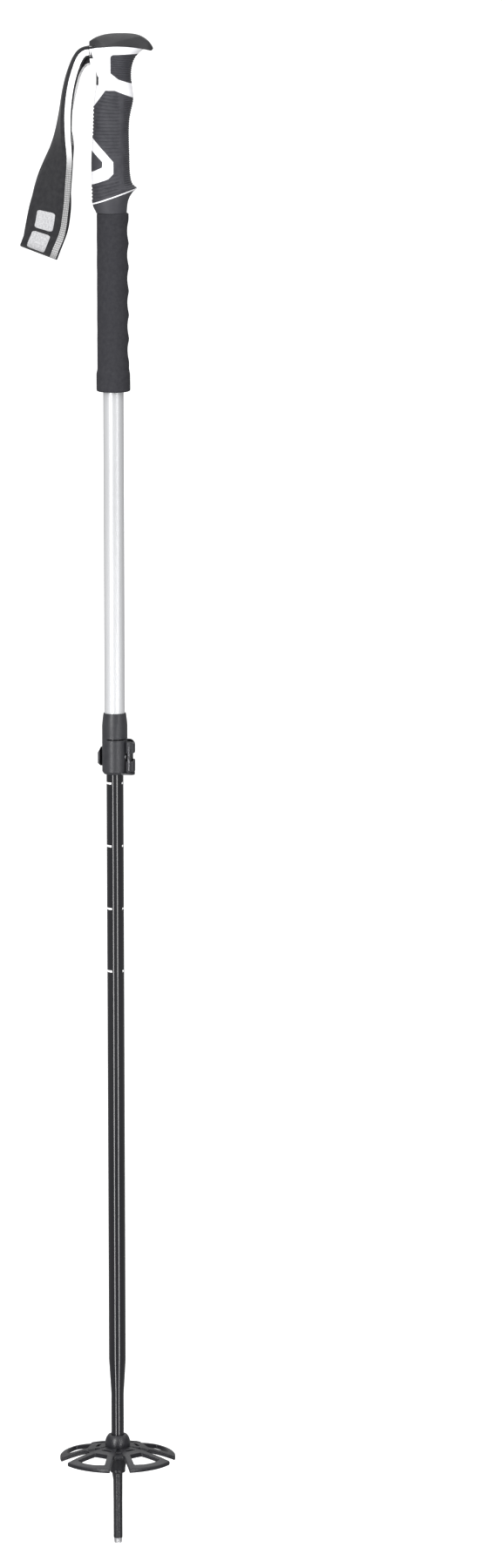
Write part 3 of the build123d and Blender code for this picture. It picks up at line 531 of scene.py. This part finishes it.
def palm_relief():
    """Depth of the palm pad's grooves: coarse on the flanks and fine along the front edge."""
    tilt = -0.24 + 0.24 * smoothstep(side_z, 1090, 1106) + 0.13 * smoothstep(side_z, 1134, 1150)
    flank_phase = (side_z + tilt * side_x) / flank_pitch
    flank = 1 - smoothstep(side_x, 4.6, 6.8)
    flank *= 1 - smoothstep(side_z, 1084, 1098) * (1 - smoothstep(side_z, 1100, 1112))
    flank *= smoothstep(outline_distance(side_x, side_z, palm_outline), 0.6, 2.0)
    front = smoothstep(side_x, 8.6, 10.6) * smoothstep(side_z, 1079, 1083)
    front *= 1 - smoothstep(side_z, 1150, 1156)
    front_phase = (side_z - rib_slope * side_x) / front_pitch
    fine = front_depth * front * scallops(front_phase)
    return flank_depth * flank * scallops(flank_phase) + fine


def thumb_relief():
    phase = (side_z + rib_slope * side_x) / thumb_pitch
    mask = smoothstep(outline_distance(side_x, side_z, thumb_outline), 0.5, 1.4)
    return thumb_depth * mask * scallops(phase)


lower_cut_reach = 0.02  # a slanted lower cut lies within this height of the lowest point


def close_annulus(mesh):
    """Makes the flat ring left by a cut right round the shell again, as a band of faces."""
    bm = bmesh.new()
    bm.from_mesh(mesh)
    low = min(vertex.co.z for vertex in bm.verts) + lower_cut_reach
    rings = [face for face in bm.faces if len(face.verts) > grip_columns]
    rings = [face for face in rings if face.calc_center_median().z < low]
    edges = {edge for face in rings for edge in face.edges}
    bmesh.ops.delete(bm, geom=rings, context="FACES_ONLY")
    bmesh.ops.delete(bm, geom=[edge for edge in bm.edges if edge.is_wire], context="EDGES")
    rims = [edge for edge in edges if edge.is_valid and edge.is_boundary]
    if rims:
        bmesh.ops.bridge_loops(bm, edges=rims)
    bmesh.ops.triangulate(bm, faces=[face for face in bm.faces if len(face.verts) > 4])
    bmesh.ops.recalc_face_normals(bm, faces=bm.faces)
    bm.to_mesh(mesh)
    bm.free()


rim_drop, rim_width, inlay_depth = 0.32, 0.8, 1.4
inside_step = 6  # the hidden inside has one row for this many rows outside


def grip_pad(name, node, look, outline, relief, proud):
    """A rubber inlay: a shell of the grip's skin with rounded rims, cut to the outline."""
    distance = outline_distance(side_x, side_z, outline)
    rim = rim_drop * (1 - np.sqrt(1 - (1 - np.clip(distance / rim_width, 0, 1)) ** 2))
    outer = skin + proud - rim - relief
    inside = skin - inlay_depth
    radii = np.concatenate([outer, inside[::-inside_step], inside[:1]])
    levels = np.concatenate([heights, heights[::-inside_step], heights[:1]])
    rows = len(levels)
    points = np.zeros((rows, grip_columns, 3))
    points[:, :, 0] = radii * np.cos(angles)
    points[:, :, 1] = radii * np.sin(angles)
    points[:, :, 2] = levels[:, None]
    points = np.concatenate([points, points[:1]]) * MM
    mesh = grid_mesh(name, points)
    face_outwards(mesh, weld=True)
    piece = bpy.data.objects.new(name, mesh)
    bpy.context.scene.collection.objects.link(piece)
    cut = [(x * MM, side * reach * MM, z * MM) for side in (-1, 1) for x, z in outline]
    count = len(outline)
    sides = [(i, (i + 1) % count, count + (i + 1) % count, count + i) for i in range(count)]
    caps = [tuple(range(count))[::-1], tuple(range(count, 2 * count))]
    cutter_mesh = bpy.data.meshes.new(name + "_cut")
    cutter_mesh.from_pydata(cut, [], sides + caps)
    bm = bmesh.new()
    bm.from_mesh(cutter_mesh)
    bmesh.ops.recalc_face_normals(bm, faces=bm.faces)
    bmesh.ops.triangulate(bm, faces=bm.faces)
    bm.to_mesh(cutter_mesh)
    bm.free()
    cutter = bpy.data.objects.new(name + "_cut", cutter_mesh)
    bpy.context.scene.collection.objects.link(cutter)
    trim = piece.modifiers.new("trim", "BOOLEAN")
    trim.operation = "INTERSECT"
    trim.solver = "MANIFOLD"
    trim.object = cutter
    apply_modifiers(piece)
    bpy.data.objects.remove(cutter)
    mesh = piece.data
    close_annulus(mesh)
    mesh.materials.clear()
    mesh.materials.append(look.material)
    mesh.shade_smooth()
    mesh.set_sharp_from_angle(angle=math.radians(50))
    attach(piece, "handle")
    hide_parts(node)
    return piece


grip_pad("palm_pad", "grip_palm_pad", ribbed, palm_outline, palm_relief(), 0.25)
grip_pad("thumb_pad", "grip_thumb_pad", ribbed, thumb_outline, thumb_relief(), 0.25)
grip_pad("rear_pad", "grip_rear_pad", smooth, rear_outline, 0, 0.2)

moulded("cap", "grip_cap", cap_look, "handle", 0.0004, 14, 0.4)

# ---- Foam grip ---------------------------------------------------------------------------

foam_low, foam_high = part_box("foam_grip")
foam_bottom, foam_top = foam_low.z / MM, foam_high.z / MM
foam_radius, flange_radius, foam_bore = 12.4, 13.2, 8.05
wave_pitch, wave_depth, wave_first, wave_count = 18.6, 1.3, 955.0, 6
foam_row, bottom_round, top_round = 0.5, 1.6, 1.2
flange_fade = (936.5, 941.5)
wave_facing = 0.3  # the waves end where the skin turns this far from the front
no_limit = 99.0


def foam_mesh():
    columns = 144
    around = np.linspace(0, 2 * math.pi, columns, endpoint=False)
    levels = np.arange(foam_bottom, foam_top, foam_row)
    levels = np.append(levels, foam_top)
    base = foam_radius + (flange_radius - foam_radius) * (1 - smoothstep(levels, *flange_fade))
    for end, size in ((foam_bottom, bottom_round), (foam_top, top_round)):
        near = np.clip(1 - np.abs(levels - end) / size, 0, 1)
        base = base - size * (1 - np.sqrt(1 - near**2))
    scoop = np.zeros(len(levels))
    for wave in range(wave_count):
        t = (levels - wave_first - wave * wave_pitch) / (0.5 * wave_pitch)
        scoop = np.maximum(scoop, np.clip(1 - t * t, 0, 1) ** 1.3)
    front = foam_radius - wave_depth * scoop
    radii = np.zeros((len(levels), columns))
    for j, angle in enumerate(around):
        facing = math.cos(angle)
        limit = front / facing if facing > wave_facing else np.full(len(levels), no_limit)
        soft = 0.5
        mixed = -soft * np.log(np.exp(-(limit - base) / soft) + 1) + base
        hollow = base - mixed
        shift = soft * math.log(2) if facing > wave_facing else 0
        strength = np.clip(hollow - shift * np.exp(-((limit - base) ** 2)), 0, None)
        radii[:, j] = base - strength * (scoop > 0)
    ripple = np.zeros_like(radii)
    for _ in range(10):
        turns = rng.integers(1, 7)
        along = rng.uniform(0.05, 0.5)
        phase = rng.uniform(0, 6.28, 2)
        ripple += 0.012 * np.cos(turns * around[None, :] + phase[0]) * np.cos(
            along * levels[:, None] + phase[1]
        )
    radii += ripple
    rows = [(level, radii[i]) for i, level in enumerate(levels)]
    bore = [(foam_top, np.full(columns, foam_bore)), (foam_bottom, np.full(columns, foam_bore))]
    rows = rows + bore + rows[:1]
    points = np.zeros((len(rows), columns, 3))
    for i, (level, radius) in enumerate(rows):
        points[i, :, 0] = radius * np.cos(around)
        points[i, :, 1] = radius * np.sin(around)
        points[i, :, 2] = level
    mesh = grid_mesh("foam", points * MM)
    face_outwards(mesh, weld=True)
    return mesh


foam_piece = finish_piece("foam", foam_mesh(), [foam], "handle", ["foam_grip"], 60)

# ---- Wrist strap: one woven ribbon, with its ends in the slot and its tail ------------------

webbing_thickness = 1.7
# Across the webbing: the border, the stripe between two of these columns, and the panel
edge_columns = np.array([0.0, 0.35, 0.9, 1.5, 2.3, 3.2, 4.2, 5.2, 6.2])
stripe_first, stripe_last = 3, 8
panel_columns = 26
y_axis = np.array([0.0, 1.0, 0.0])


def unit(vectors):
    return vectors / np.linalg.norm(vectors, axis=-1, keepdims=True)


def leg_frames(stations, count):
    """Places, running directions, directions to the striped edge and widths down one leg."""
    stations = np.asarray(stations, float)
    lengths = np.linalg.norm(np.diff(stations[:, :3], axis=0), axis=1)
    keys = np.concatenate([[0], np.cumsum(lengths)])
    at = np.linspace(0, keys[-1], count)
    found = curve_through(keys, stations, at)
    heading, twist = np.radians(found[:, 3]), np.radians(found[:, 4])
    zero = np.zeros_like(heading)
    run = np.stack([np.cos(heading), zero, np.sin(heading)], 1)
    side = np.stack([-np.sin(heading), zero, np.cos(heading)], 1)
    across = side * np.sin(twist)[:, None] - y_axis * np.cos(twist)[:, None]
    return found[:, :3], run, across, found[:, 5]


# Each leg from the slot down: place, heading, twist and width, in millimetres and degrees
front_leg = [
    (-17.3, 0.0, 1190.4, 178, 0, 21),
    (-21.5, -0.2, 1189.9, 191, 0, 21),
    (-25.6, -0.6, 1187.7, 217, 1, 21),
    (-29.4, -1.2, 1182.6, 240, 2, 21.5),
    (-32.2, -2.2, 1176.0, 250, 4, 22),
    (-34.8, -3.4, 1168.0, 256, 5, 22.5),
    (-36.9, -4.8, 1159.0, 260, 6, 23),
    (-39.3, -7.2, 1141.5, 264, 9, 25),
    (-40.6, -9.0, 1123.5, 266, 23, 27),
    (-41.6, -10.2, 1105.5, 264, 43, 29),
    (-44.6, -11.2, 1087.5, 260, 59, 31),
    (-48.2, -11.4, 1067.0, 259, 77, 33),
    (-51.4, -9.8, 1050.0, 254, 86, 33),
    (-54.4, -8.6, 1040.0, 249, 90, 31),
]
rear_leg = [
    (-17.3, 0.0, 1183.0, 184, 0, 21),
    (-22.0, 0.2, 1181.6, 208, 0, 21),
    (-26.4, 0.6, 1177.6, 231, 1, 21),
    (-30.2, 1.4, 1171.0, 246, 3, 21.5),
    (-33.0, 2.4, 1162.0, 257, 5, 22),
    (-35.2, 3.8, 1152.0, 263, 8, 23),
    (-36.9, 5.6, 1140.0, 265, 12, 25),
    (-39.2, 8.0, 1123.0, 264, 24, 27),
    (-42.4, 9.8, 1105.0, 259, 42, 29),
    (-45.4, 11.2, 1089.0, 257, 58, 31),
    (-48.2, 11.4, 1067.0, 258, 77, 33),
    (-51.4, 9.8, 1050.0, 254, 86, 33),
    (-54.4, 8.6, 1040.0, 249, 90, 31),
]
toe_rows, leg_rows = 22, 132
toe_width = 31.0


def ribbon_points(places, runs, acrosses, widths, lip, roll, band, far_roll, sign, thickness):
    """Grid over a ribbon: its striped edge is curled over by lip and roll, in degrees.

    lip turns the border and stripe, and roll the band of panel beside them, which is
    this wide before the webbing lies flat.
    """
    rows = len(places)
    normals = np.cross(runs, acrosses)
    share = np.linspace(0, 1, panel_columns + 1)[1:]
    edge = edge_columns[-1]
    over_panel = edge + (widths[:, None] - edge) * share[None]
    v = np.concatenate([np.repeat(edge_columns[None], rows, 0), over_panel], axis=1)
    columns = v.shape[1]
    phi = lip[:, None] + (roll[:, None] - lip[:, None]) * smoothstep(v, edge - 0.4, edge + 0.6)
    phi = phi * (1 - smoothstep(v, edge + 0.5 * band[:, None], edge + 1.3 * band[:, None]))
    from_far = widths[:, None] - v
    phi = phi - far_roll[:, None] * (1 - smoothstep(from_far, 1.0, 6.5))
    phi = np.radians(phi) * sign[:, None]
    direction = acrosses[:, None] * np.cos(phi)[..., None]
    direction = direction - normals[:, None] * np.sin(phi)[..., None]
    outward = normals[:, None] * np.cos(phi)[..., None]
    outward = outward + acrosses[:, None] * np.sin(phi)[..., None]
    step = np.diff(v, axis=1)[..., None] * (direction[:, 1:] + direction[:, :-1]) / 2
    centre = np.concatenate([np.zeros((rows, 1, 3)), -np.cumsum(step, axis=1)], axis=1)
    middle = np.array([np.interp(0.5 * w, v[i], np.arange(columns)) for i, w in enumerate(widths)])
    low = np.floor(middle).astype(int)
    part = (middle - low)[:, None]
    index = np.arange(rows)
    anchor = centre[index, low] * (1 - part) + centre[index, low + 1] * part
    centre = centre - anchor[:, None] + places[:, None]
    rim = np.minimum(v, from_far)
    round_over = np.sqrt(np.clip(1 - (1 - np.clip(rim / 0.8, 0, 1)) ** 2, 0.02, 1))
    half = 0.5 * thickness * round_over[..., None] * outward
    top, bottom = centre + half, centre - half
    return np.concatenate([top, bottom[:, ::-1]], axis=1), v, centre, outward


def run_map(mesh, u, v):
    """Gives the mesh its run map from a length and a width for each vertex, in metres."""
    layer = mesh.uv_layers.new(name="run")
    for loop in mesh.loops:
        layer.data[loop.index].uv = (u[loop.vertex_index], v[loop.vertex_index])


def ribbon_piece(name, points, lengths, v, body, replaced):
    rows, around = points.shape[:2]
    mesh = grid_mesh(name, points * MM, cap_ends=True)
    both = np.concatenate([v, v[:, ::-1]], axis=1)
    run_map(mesh, np.repeat(lengths * MM, around), (both * MM).ravel())
    piece = finish_piece(name, mesh, [panel, stripe], body, replaced)
    columns = v.shape[1]
    for polygon in mesh.polygons:
        if len(polygon.vertices) != 4:
            continue
        here = [i % around for i in polygon.vertices]
        here = [i if i < columns else 2 * columns - 1 - i for i in here]
        striped = stripe_first <= min(here) and max(here) <= stripe_last
        polygon.material_index = 1 if striped else 0
    face_outwards(mesh)
    return piece


# Down the front leg, round the toe and back up the rear leg
front = leg_frames(front_leg, leg_rows)
rear = leg_frames(rear_leg, leg_rows)
rear = (rear[0][::-1], -rear[1][::-1], rear[2][::-1], rear[3][::-1])
toe_centre = np.array([-54.4, 0.0, 1040.0])
toe_axis = unit(front[2][-1])
toe_turn = np.linspace(0, math.pi, toe_rows + 2)[1:-1]
toe_start = front[0][-1] - toe_centre
toe_normal = np.cross(toe_axis, toe_start)
toe_run = np.cross(toe_axis, front[1][-1])
toe_places = toe_centre + np.cos(toe_turn)[:, None] * toe_start
toe_places = toe_places + np.sin(toe_turn)[:, None] * toe_normal
toe_runs = np.cos(toe_turn)[:, None] * front[1][-1] + np.sin(toe_turn)[:, None] * toe_run
toe = (toe_places, toe_runs, np.repeat(toe_axis[None], toe_rows, 0), np.full(toe_rows, toe_width))
places, runs, acrosses, widths = (np.concatenate(part) for part in zip(front, toe, rear))
runs, acrosses = unit(runs), unit(acrosses)
lengths = np.concatenate([[0], np.cumsum(np.linalg.norm(np.diff(places, axis=0), axis=1))])

is_rear = np.arange(len(places)) >= leg_rows + toe_rows
z = places[:, 2]
from_mouth = np.minimum(lengths, lengths[-1] - lengths)
mouth = 0.85 + 0.15 * smoothstep(from_mouth, 1.0, 9.0)
# How far the striped edge and the far edge are folded over, in degrees, by height
front_lip = np.interp(
    z, [1040, 1052, 1065, 1087, 1105, 1125, 1145, 1165, 1192], [0, 30, 44, 62, 78, 94, 93, 87, 84]
)
rear_lip = np.interp(z, [1085, 1100, 1115, 1130, 1192], [0, 20, 80, 158, 168])
rear_roll = np.interp(z, [1085, 1110, 1140, 1152, 1165, 1192], [0, 6, 24, 52, 85, 88])
lip = np.where(is_rear, rear_lip, front_lip * mouth)
roll = np.where(is_rear, rear_roll, front_lip) * mouth
far_roll = np.interp(z, [1050, 1100, 1140, 1192], [0, 10, 45, 45])
far_roll = far_roll * smoothstep(from_mouth, 1.0, 9.0)
sign = np.where(is_rear, -1.0, 1.0)
band = np.where(is_rear, 7.5, 2.0)
strap_points, strap_v, strap_centre, strap_outward = ribbon_points(
    places, runs, acrosses, widths, lip, roll, band, far_roll, sign, webbing_thickness
)
strap = ribbon_piece("strap", strap_points, lengths, strap_v, None, ["strap_loop"])

# Two blank woven labels low on the outer panel: the second goes round the toe
label_top = lengths[int(np.argmin(np.abs(z[:leg_rows] - 1064.0)))]
label_length, label_pitch, label_corner = 14.5, 17.5, 2.0
label_near, label_far = 11.5, 26.0


def panel_point(length, width, lift):
    """A point over the outer face of the strap, by length and width along it."""
    row = np.interp(length, lengths, np.arange(len(lengths)))
    low = int(min(row, len(lengths) - 2))
    share = row - low
    found = []
    for index in (low, low + 1):
        column = np.interp(width, strap_v[index], np.arange(strap_v.shape[1]))
        left = int(min(column, strap_v.shape[1] - 2))
        mix = column - left
        base = strap_centre[index, left] * (1 - mix) + strap_centre[index, left + 1] * mix
        out = strap_outward[index, left] * (1 - mix) + strap_outward[index, left + 1] * mix
        found.append(base + out * (0.5 * webbing_thickness + lift))
    return found[0] * (1 - share) + found[1] * share


def patch(corner_of, rows, columns, low_lift, high_lift):
    """Points, faces and run values of a thin pad laid on a surface by corner_of(u, v, lift)."""
    points, faces, u_values, v_values = [], [], [], []
    for lift in (high_lift, low_lift):
        for i in range(rows + 1):
            for j in range(columns + 1):
                place, u, v = corner_of(i / rows, j / columns, lift)
                points.append(place)
                u_values.append(u)
                v_values.append(v)
    layer = (rows + 1) * (columns + 1)

    def at(i, j, k=0):
        return k * layer + i * (columns + 1) + j

    for i in range(rows):
        for j in range(columns):
            faces.append((at(i, j), at(i, j + 1), at(i + 1, j + 1), at(i + 1, j)))
            faces.append((at(i, j, 1), at(i + 1, j, 1), at(i + 1, j + 1, 1), at(i, j + 1, 1)))
    for i in range(rows):
        for j in (0, columns):
            faces.append((at(i, j), at(i + 1, j), at(i + 1, j, 1), at(i, j, 1)))
    for j in range(columns):
        for i in (0, rows):
            faces.append((at(i, j), at(i, j + 1), at(i, j + 1, 1), at(i, j, 1)))
    return points, faces, u_values, v_values


def joined_patches(name, patches):
    points, faces, u_values, v_values = [], [], [], []
    for got_points, got_faces, u, v in patches:
        start = len(points)
        points.extend(got_points)
        faces.extend(tuple(start + i for i in face) for face in got_faces)
        u_values.extend(u)
        v_values.extend(v)
    mesh = bpy.data.meshes.new(name)
    mesh.from_pydata([tuple(p) for p in points], [], faces)
    face_outwards(mesh)
    run_map(mesh, u_values, v_values)
    return mesh


def label(index):
    """A plain oblong with rounded corners, laid along the strap."""

    def corner_of(u, v, lift):
        from_end = min(u, 1 - u) * label_length
        short = max(0.0, 1 - from_end / label_corner)
        inset = label_corner * (1 - math.sqrt(1 - short * short))
        width = label_near + inset + v * (label_far - label_near - 2 * inset)
        length = label_top + index * label_pitch + u * label_length
        return panel_point(length, width, lift) * MM, length * MM, width * MM

    return patch(corner_of, 28, 10, -0.1, 0.12)


mark_mesh = joined_patches("mark", [label(index) for index in range(2)])
mark = finish_piece("mark", mark_mesh, [mark_look], "strap", (), 40)

# The two ends inside the slot: in along the upper layer, round the wedge and out again
upper_layer, lower_layer = 1190.4, 1183.0
slot_mouth, turn_x, turn_radius = -17.25, -8.8, 3.7
straight_rows = 16
layer_middle = (upper_layer + lower_layer) / 2
ends_straight = np.linspace(slot_mouth, turn_x, straight_rows)
ends_turn = np.linspace(0, math.pi, straight_rows + 2)[1:-1]
ends_x = np.concatenate(
    [ends_straight, turn_x + turn_radius * np.sin(ends_turn), ends_straight[::-1]]
)
ends_z = np.concatenate(
    [
        np.full(straight_rows, upper_layer),
        layer_middle + turn_radius * np.cos(ends_turn),
        np.full(straight_rows, lower_layer),
    ]
)
ends_places = np.stack([ends_x, np.zeros_like(ends_x), ends_z], 1)
ends_runs = unit(np.gradient(ends_places, axis=0))
ends_rows = len(ends_x)
ends_width = 20.9
none = np.zeros(ends_rows)
ends_lengths = np.concatenate(
    [[0], np.cumsum(np.linalg.norm(np.diff(ends_places, axis=0), axis=1))]
)
ends_points, ends_v, _, _ = ribbon_points(
    ends_places,
    ends_runs,
    np.repeat(-y_axis[None], ends_rows, 0),
    np.full(ends_rows, ends_width),
    none,
    none,
    none + 2.0,
    none,
    np.ones(ends_rows),
    webbing_thickness,
)
ribbon_piece("strap_in_slot", ends_points, ends_lengths, ends_v, "wedge", ["strap_ends"])

tail = moulded("tail", "strap_tail", panel, "wedge", 0.00022, 4, 0.6)
tail_points = vertices_of(tail.data)
run_map(tail.data, tail_points[:, 2].tolist(), tail_points[:, 1].tolist())

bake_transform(strap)

# ---- Length marks printed on the lower shaft -----------------------------------------------

print_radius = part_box("lower_shaft")[1].x / MM
lowest_mark, mark_pitch, mark_count, mark_tall = 465.0, 50.0, 9, 1.5
mark_heights = [lowest_mark + mark_pitch * k for k in range(mark_count)]


def printed_line(height, start, end):
    """A line printed round the shaft from one angle to another, in degrees."""

    def corner_of(u, v, lift):
        angle = math.radians(start + (end - start) * v)
        radius = (print_radius + lift) * MM
        place = Vector((radius * math.cos(angle), radius * math.sin(angle), 0))
        place.z = (height + (u - 0.5) * mark_tall) * MM
        return place, place.z, radius * angle

    return patch(corner_of, 2, 14, -0.05, 0.02)


printed = [printed_line(height, -172, -114) for height in mark_heights]
printed += [printed_line(height, -36, -20) for height in mark_heights]
scale_mesh = joined_patches("length_marks", printed)
finish_piece("length_marks", scale_mesh, [print_look], "lower_section", (), 40)

# ---- Clamp, basket and hub: mouldings with soft edges -------------------------------------

moulded("clamp", "clamp_body", clamp_look, "handle", 0.00018, 4, 0.4)
moulded("lever", "clamp_lever", clamp_look, "lever", 0.00018, 4, 0.4)
moulded("petals", "basket_petals", basket_look, "basket", 0.00032, 3, 0.4)
moulded("hub", "basket_hub", basket_look, "basket", 0.00025, 6, 0.5)

peg_angle, peg_width, peg_height, peg_inner, peg_outer = -33.0, 2.0, 2.8, 8.6, 10.45
peg_chamfer, peg_face = 0.15, 0.84


def peg_mesh():
    """The bright square pin in the band, set on its corner, with a chamfered face."""
    turn = math.radians(peg_angle)
    outward = Vector((math.cos(turn), math.sin(turn), 0))
    along = Vector((-math.sin(turn), math.cos(turn), 0))
    middle = (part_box("plate_peg")[0].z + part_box("plate_peg")[1].z) / 2
    points = []
    steps = ((peg_inner, 1.0), (peg_outer - peg_chamfer, 1.0), (peg_outer, peg_face))
    for reach_out, scale in steps:
        for right, up in ((1, 0), (0, 1), (-1, 0), (0, -1)):
            place = outward * reach_out + along * (right * scale * peg_width / 2)
            place.z = up * scale * peg_height / 2
            points.append(place * MM + Vector((0, 0, middle)))
    mesh = grid_mesh("peg", np.array([tuple(p) for p in points]).reshape(3, 4, 3), cap_ends=True)
    face_outwards(mesh)
    return mesh


finish_piece("peg", peg_mesh(), [steel], "handle", ["plate_peg"], 20)

# ---- Stage, light and camera --------------------------------------------------------------

floor_mesh = bpy.data.meshes.new("floor")
half_floor = 80.0
floor_level = -0.45  # under the lowest pose, so that the floor never hides a piece
floor_mesh.from_pydata(
    [
        (-half_floor, -half_floor, floor_level),
        (half_floor, -half_floor, floor_level),
        (half_floor, half_floor, floor_level),
        (-half_floor, half_floor, floor_level),
    ],
    [],
    [(0, 1, 2, 3)],
)
floor = bpy.data.objects.new("floor", floor_mesh)
bpy.context.scene.collection.objects.link(floor)
floor_look = Look("floor", (0.93, 0.93, 0.935), 0.9)
floor_look.tint(floor_look.noise(0.4, 3), (0.925, 0.925, 0.93), (0.935, 0.935, 0.94))
floor_mesh.materials.append(floor_look.material)
floor.visible_diffuse = False
floor.visible_glossy = False

bpy.context.scene.view_settings.view_transform = "Standard"
world = bpy.data.worlds.new("studio")
bpy.context.scene.world = world
world.use_nodes = True
world.node_tree.nodes["Background"].inputs["Color"].default_value = (1.0, 1.0, 1.0, 1)
world.node_tree.nodes["Background"].inputs["Strength"].default_value = 0.4

sun_data = bpy.data.lights.new("sun", "SUN")
sun_data.energy = 3.2
sun_data.angle = math.radians(120)
sun = bpy.data.objects.new("sun", sun_data)
bpy.context.scene.collection.objects.link(sun)


def softbox(name, place, target, width, height, power):
    data = bpy.data.lights.new(name, "AREA")
    data.shape = "RECTANGLE"
    data.size, data.size_y = width, height
    data.energy = power
    light = bpy.data.objects.new(name, data)
    bpy.context.scene.collection.objects.link(light)
    light.location = place
    light.rotation_euler = (Vector(target) - Vector(place)).to_track_quat("-Z", "Y").to_euler()


softbox("key", (-1.5, -2.6, 1.5), (0, 0, 0.75), 1.0, 2.4, 95)
softbox("fill", (2.0, -2.0, 1.3), (0, 0, 0.7), 0.6, 2.2, 25)
# Two narrow lights that the lower shaft mirrors as thin lines
line_x, line_y, line_middle = 0.376, -0.706, 0.185
for side, name in ((-1, "line_left"), (1, "line_right")):
    softbox(name, (side * line_x, line_y, line_middle), (0, 0, line_middle), 0.12, 0.77, 4.1)

camera_data = bpy.data.cameras.new("camera")
camera = bpy.data.objects.new("camera", camera_data)
bpy.context.scene.collection.objects.link(camera)
camera_data.sensor_fit = "VERTICAL"
camera_data.sensor_height = 36
camera_data.lens = 161.0
camera_data.clip_end = 200
camera.location = (0.1068, -5.44, 1.485)
camera.rotation_mode = "XYZ"
camera_tilt, camera_roll = 9.1, -0.06
look_down = Matrix.Rotation(math.radians(90 - camera_tilt), 4, "X")
roll = Matrix.Rotation(math.radians(camera_roll), 4, "Z")
camera.rotation_euler = (look_down @ roll).to_euler()
bpy.context.scene.camera = camera
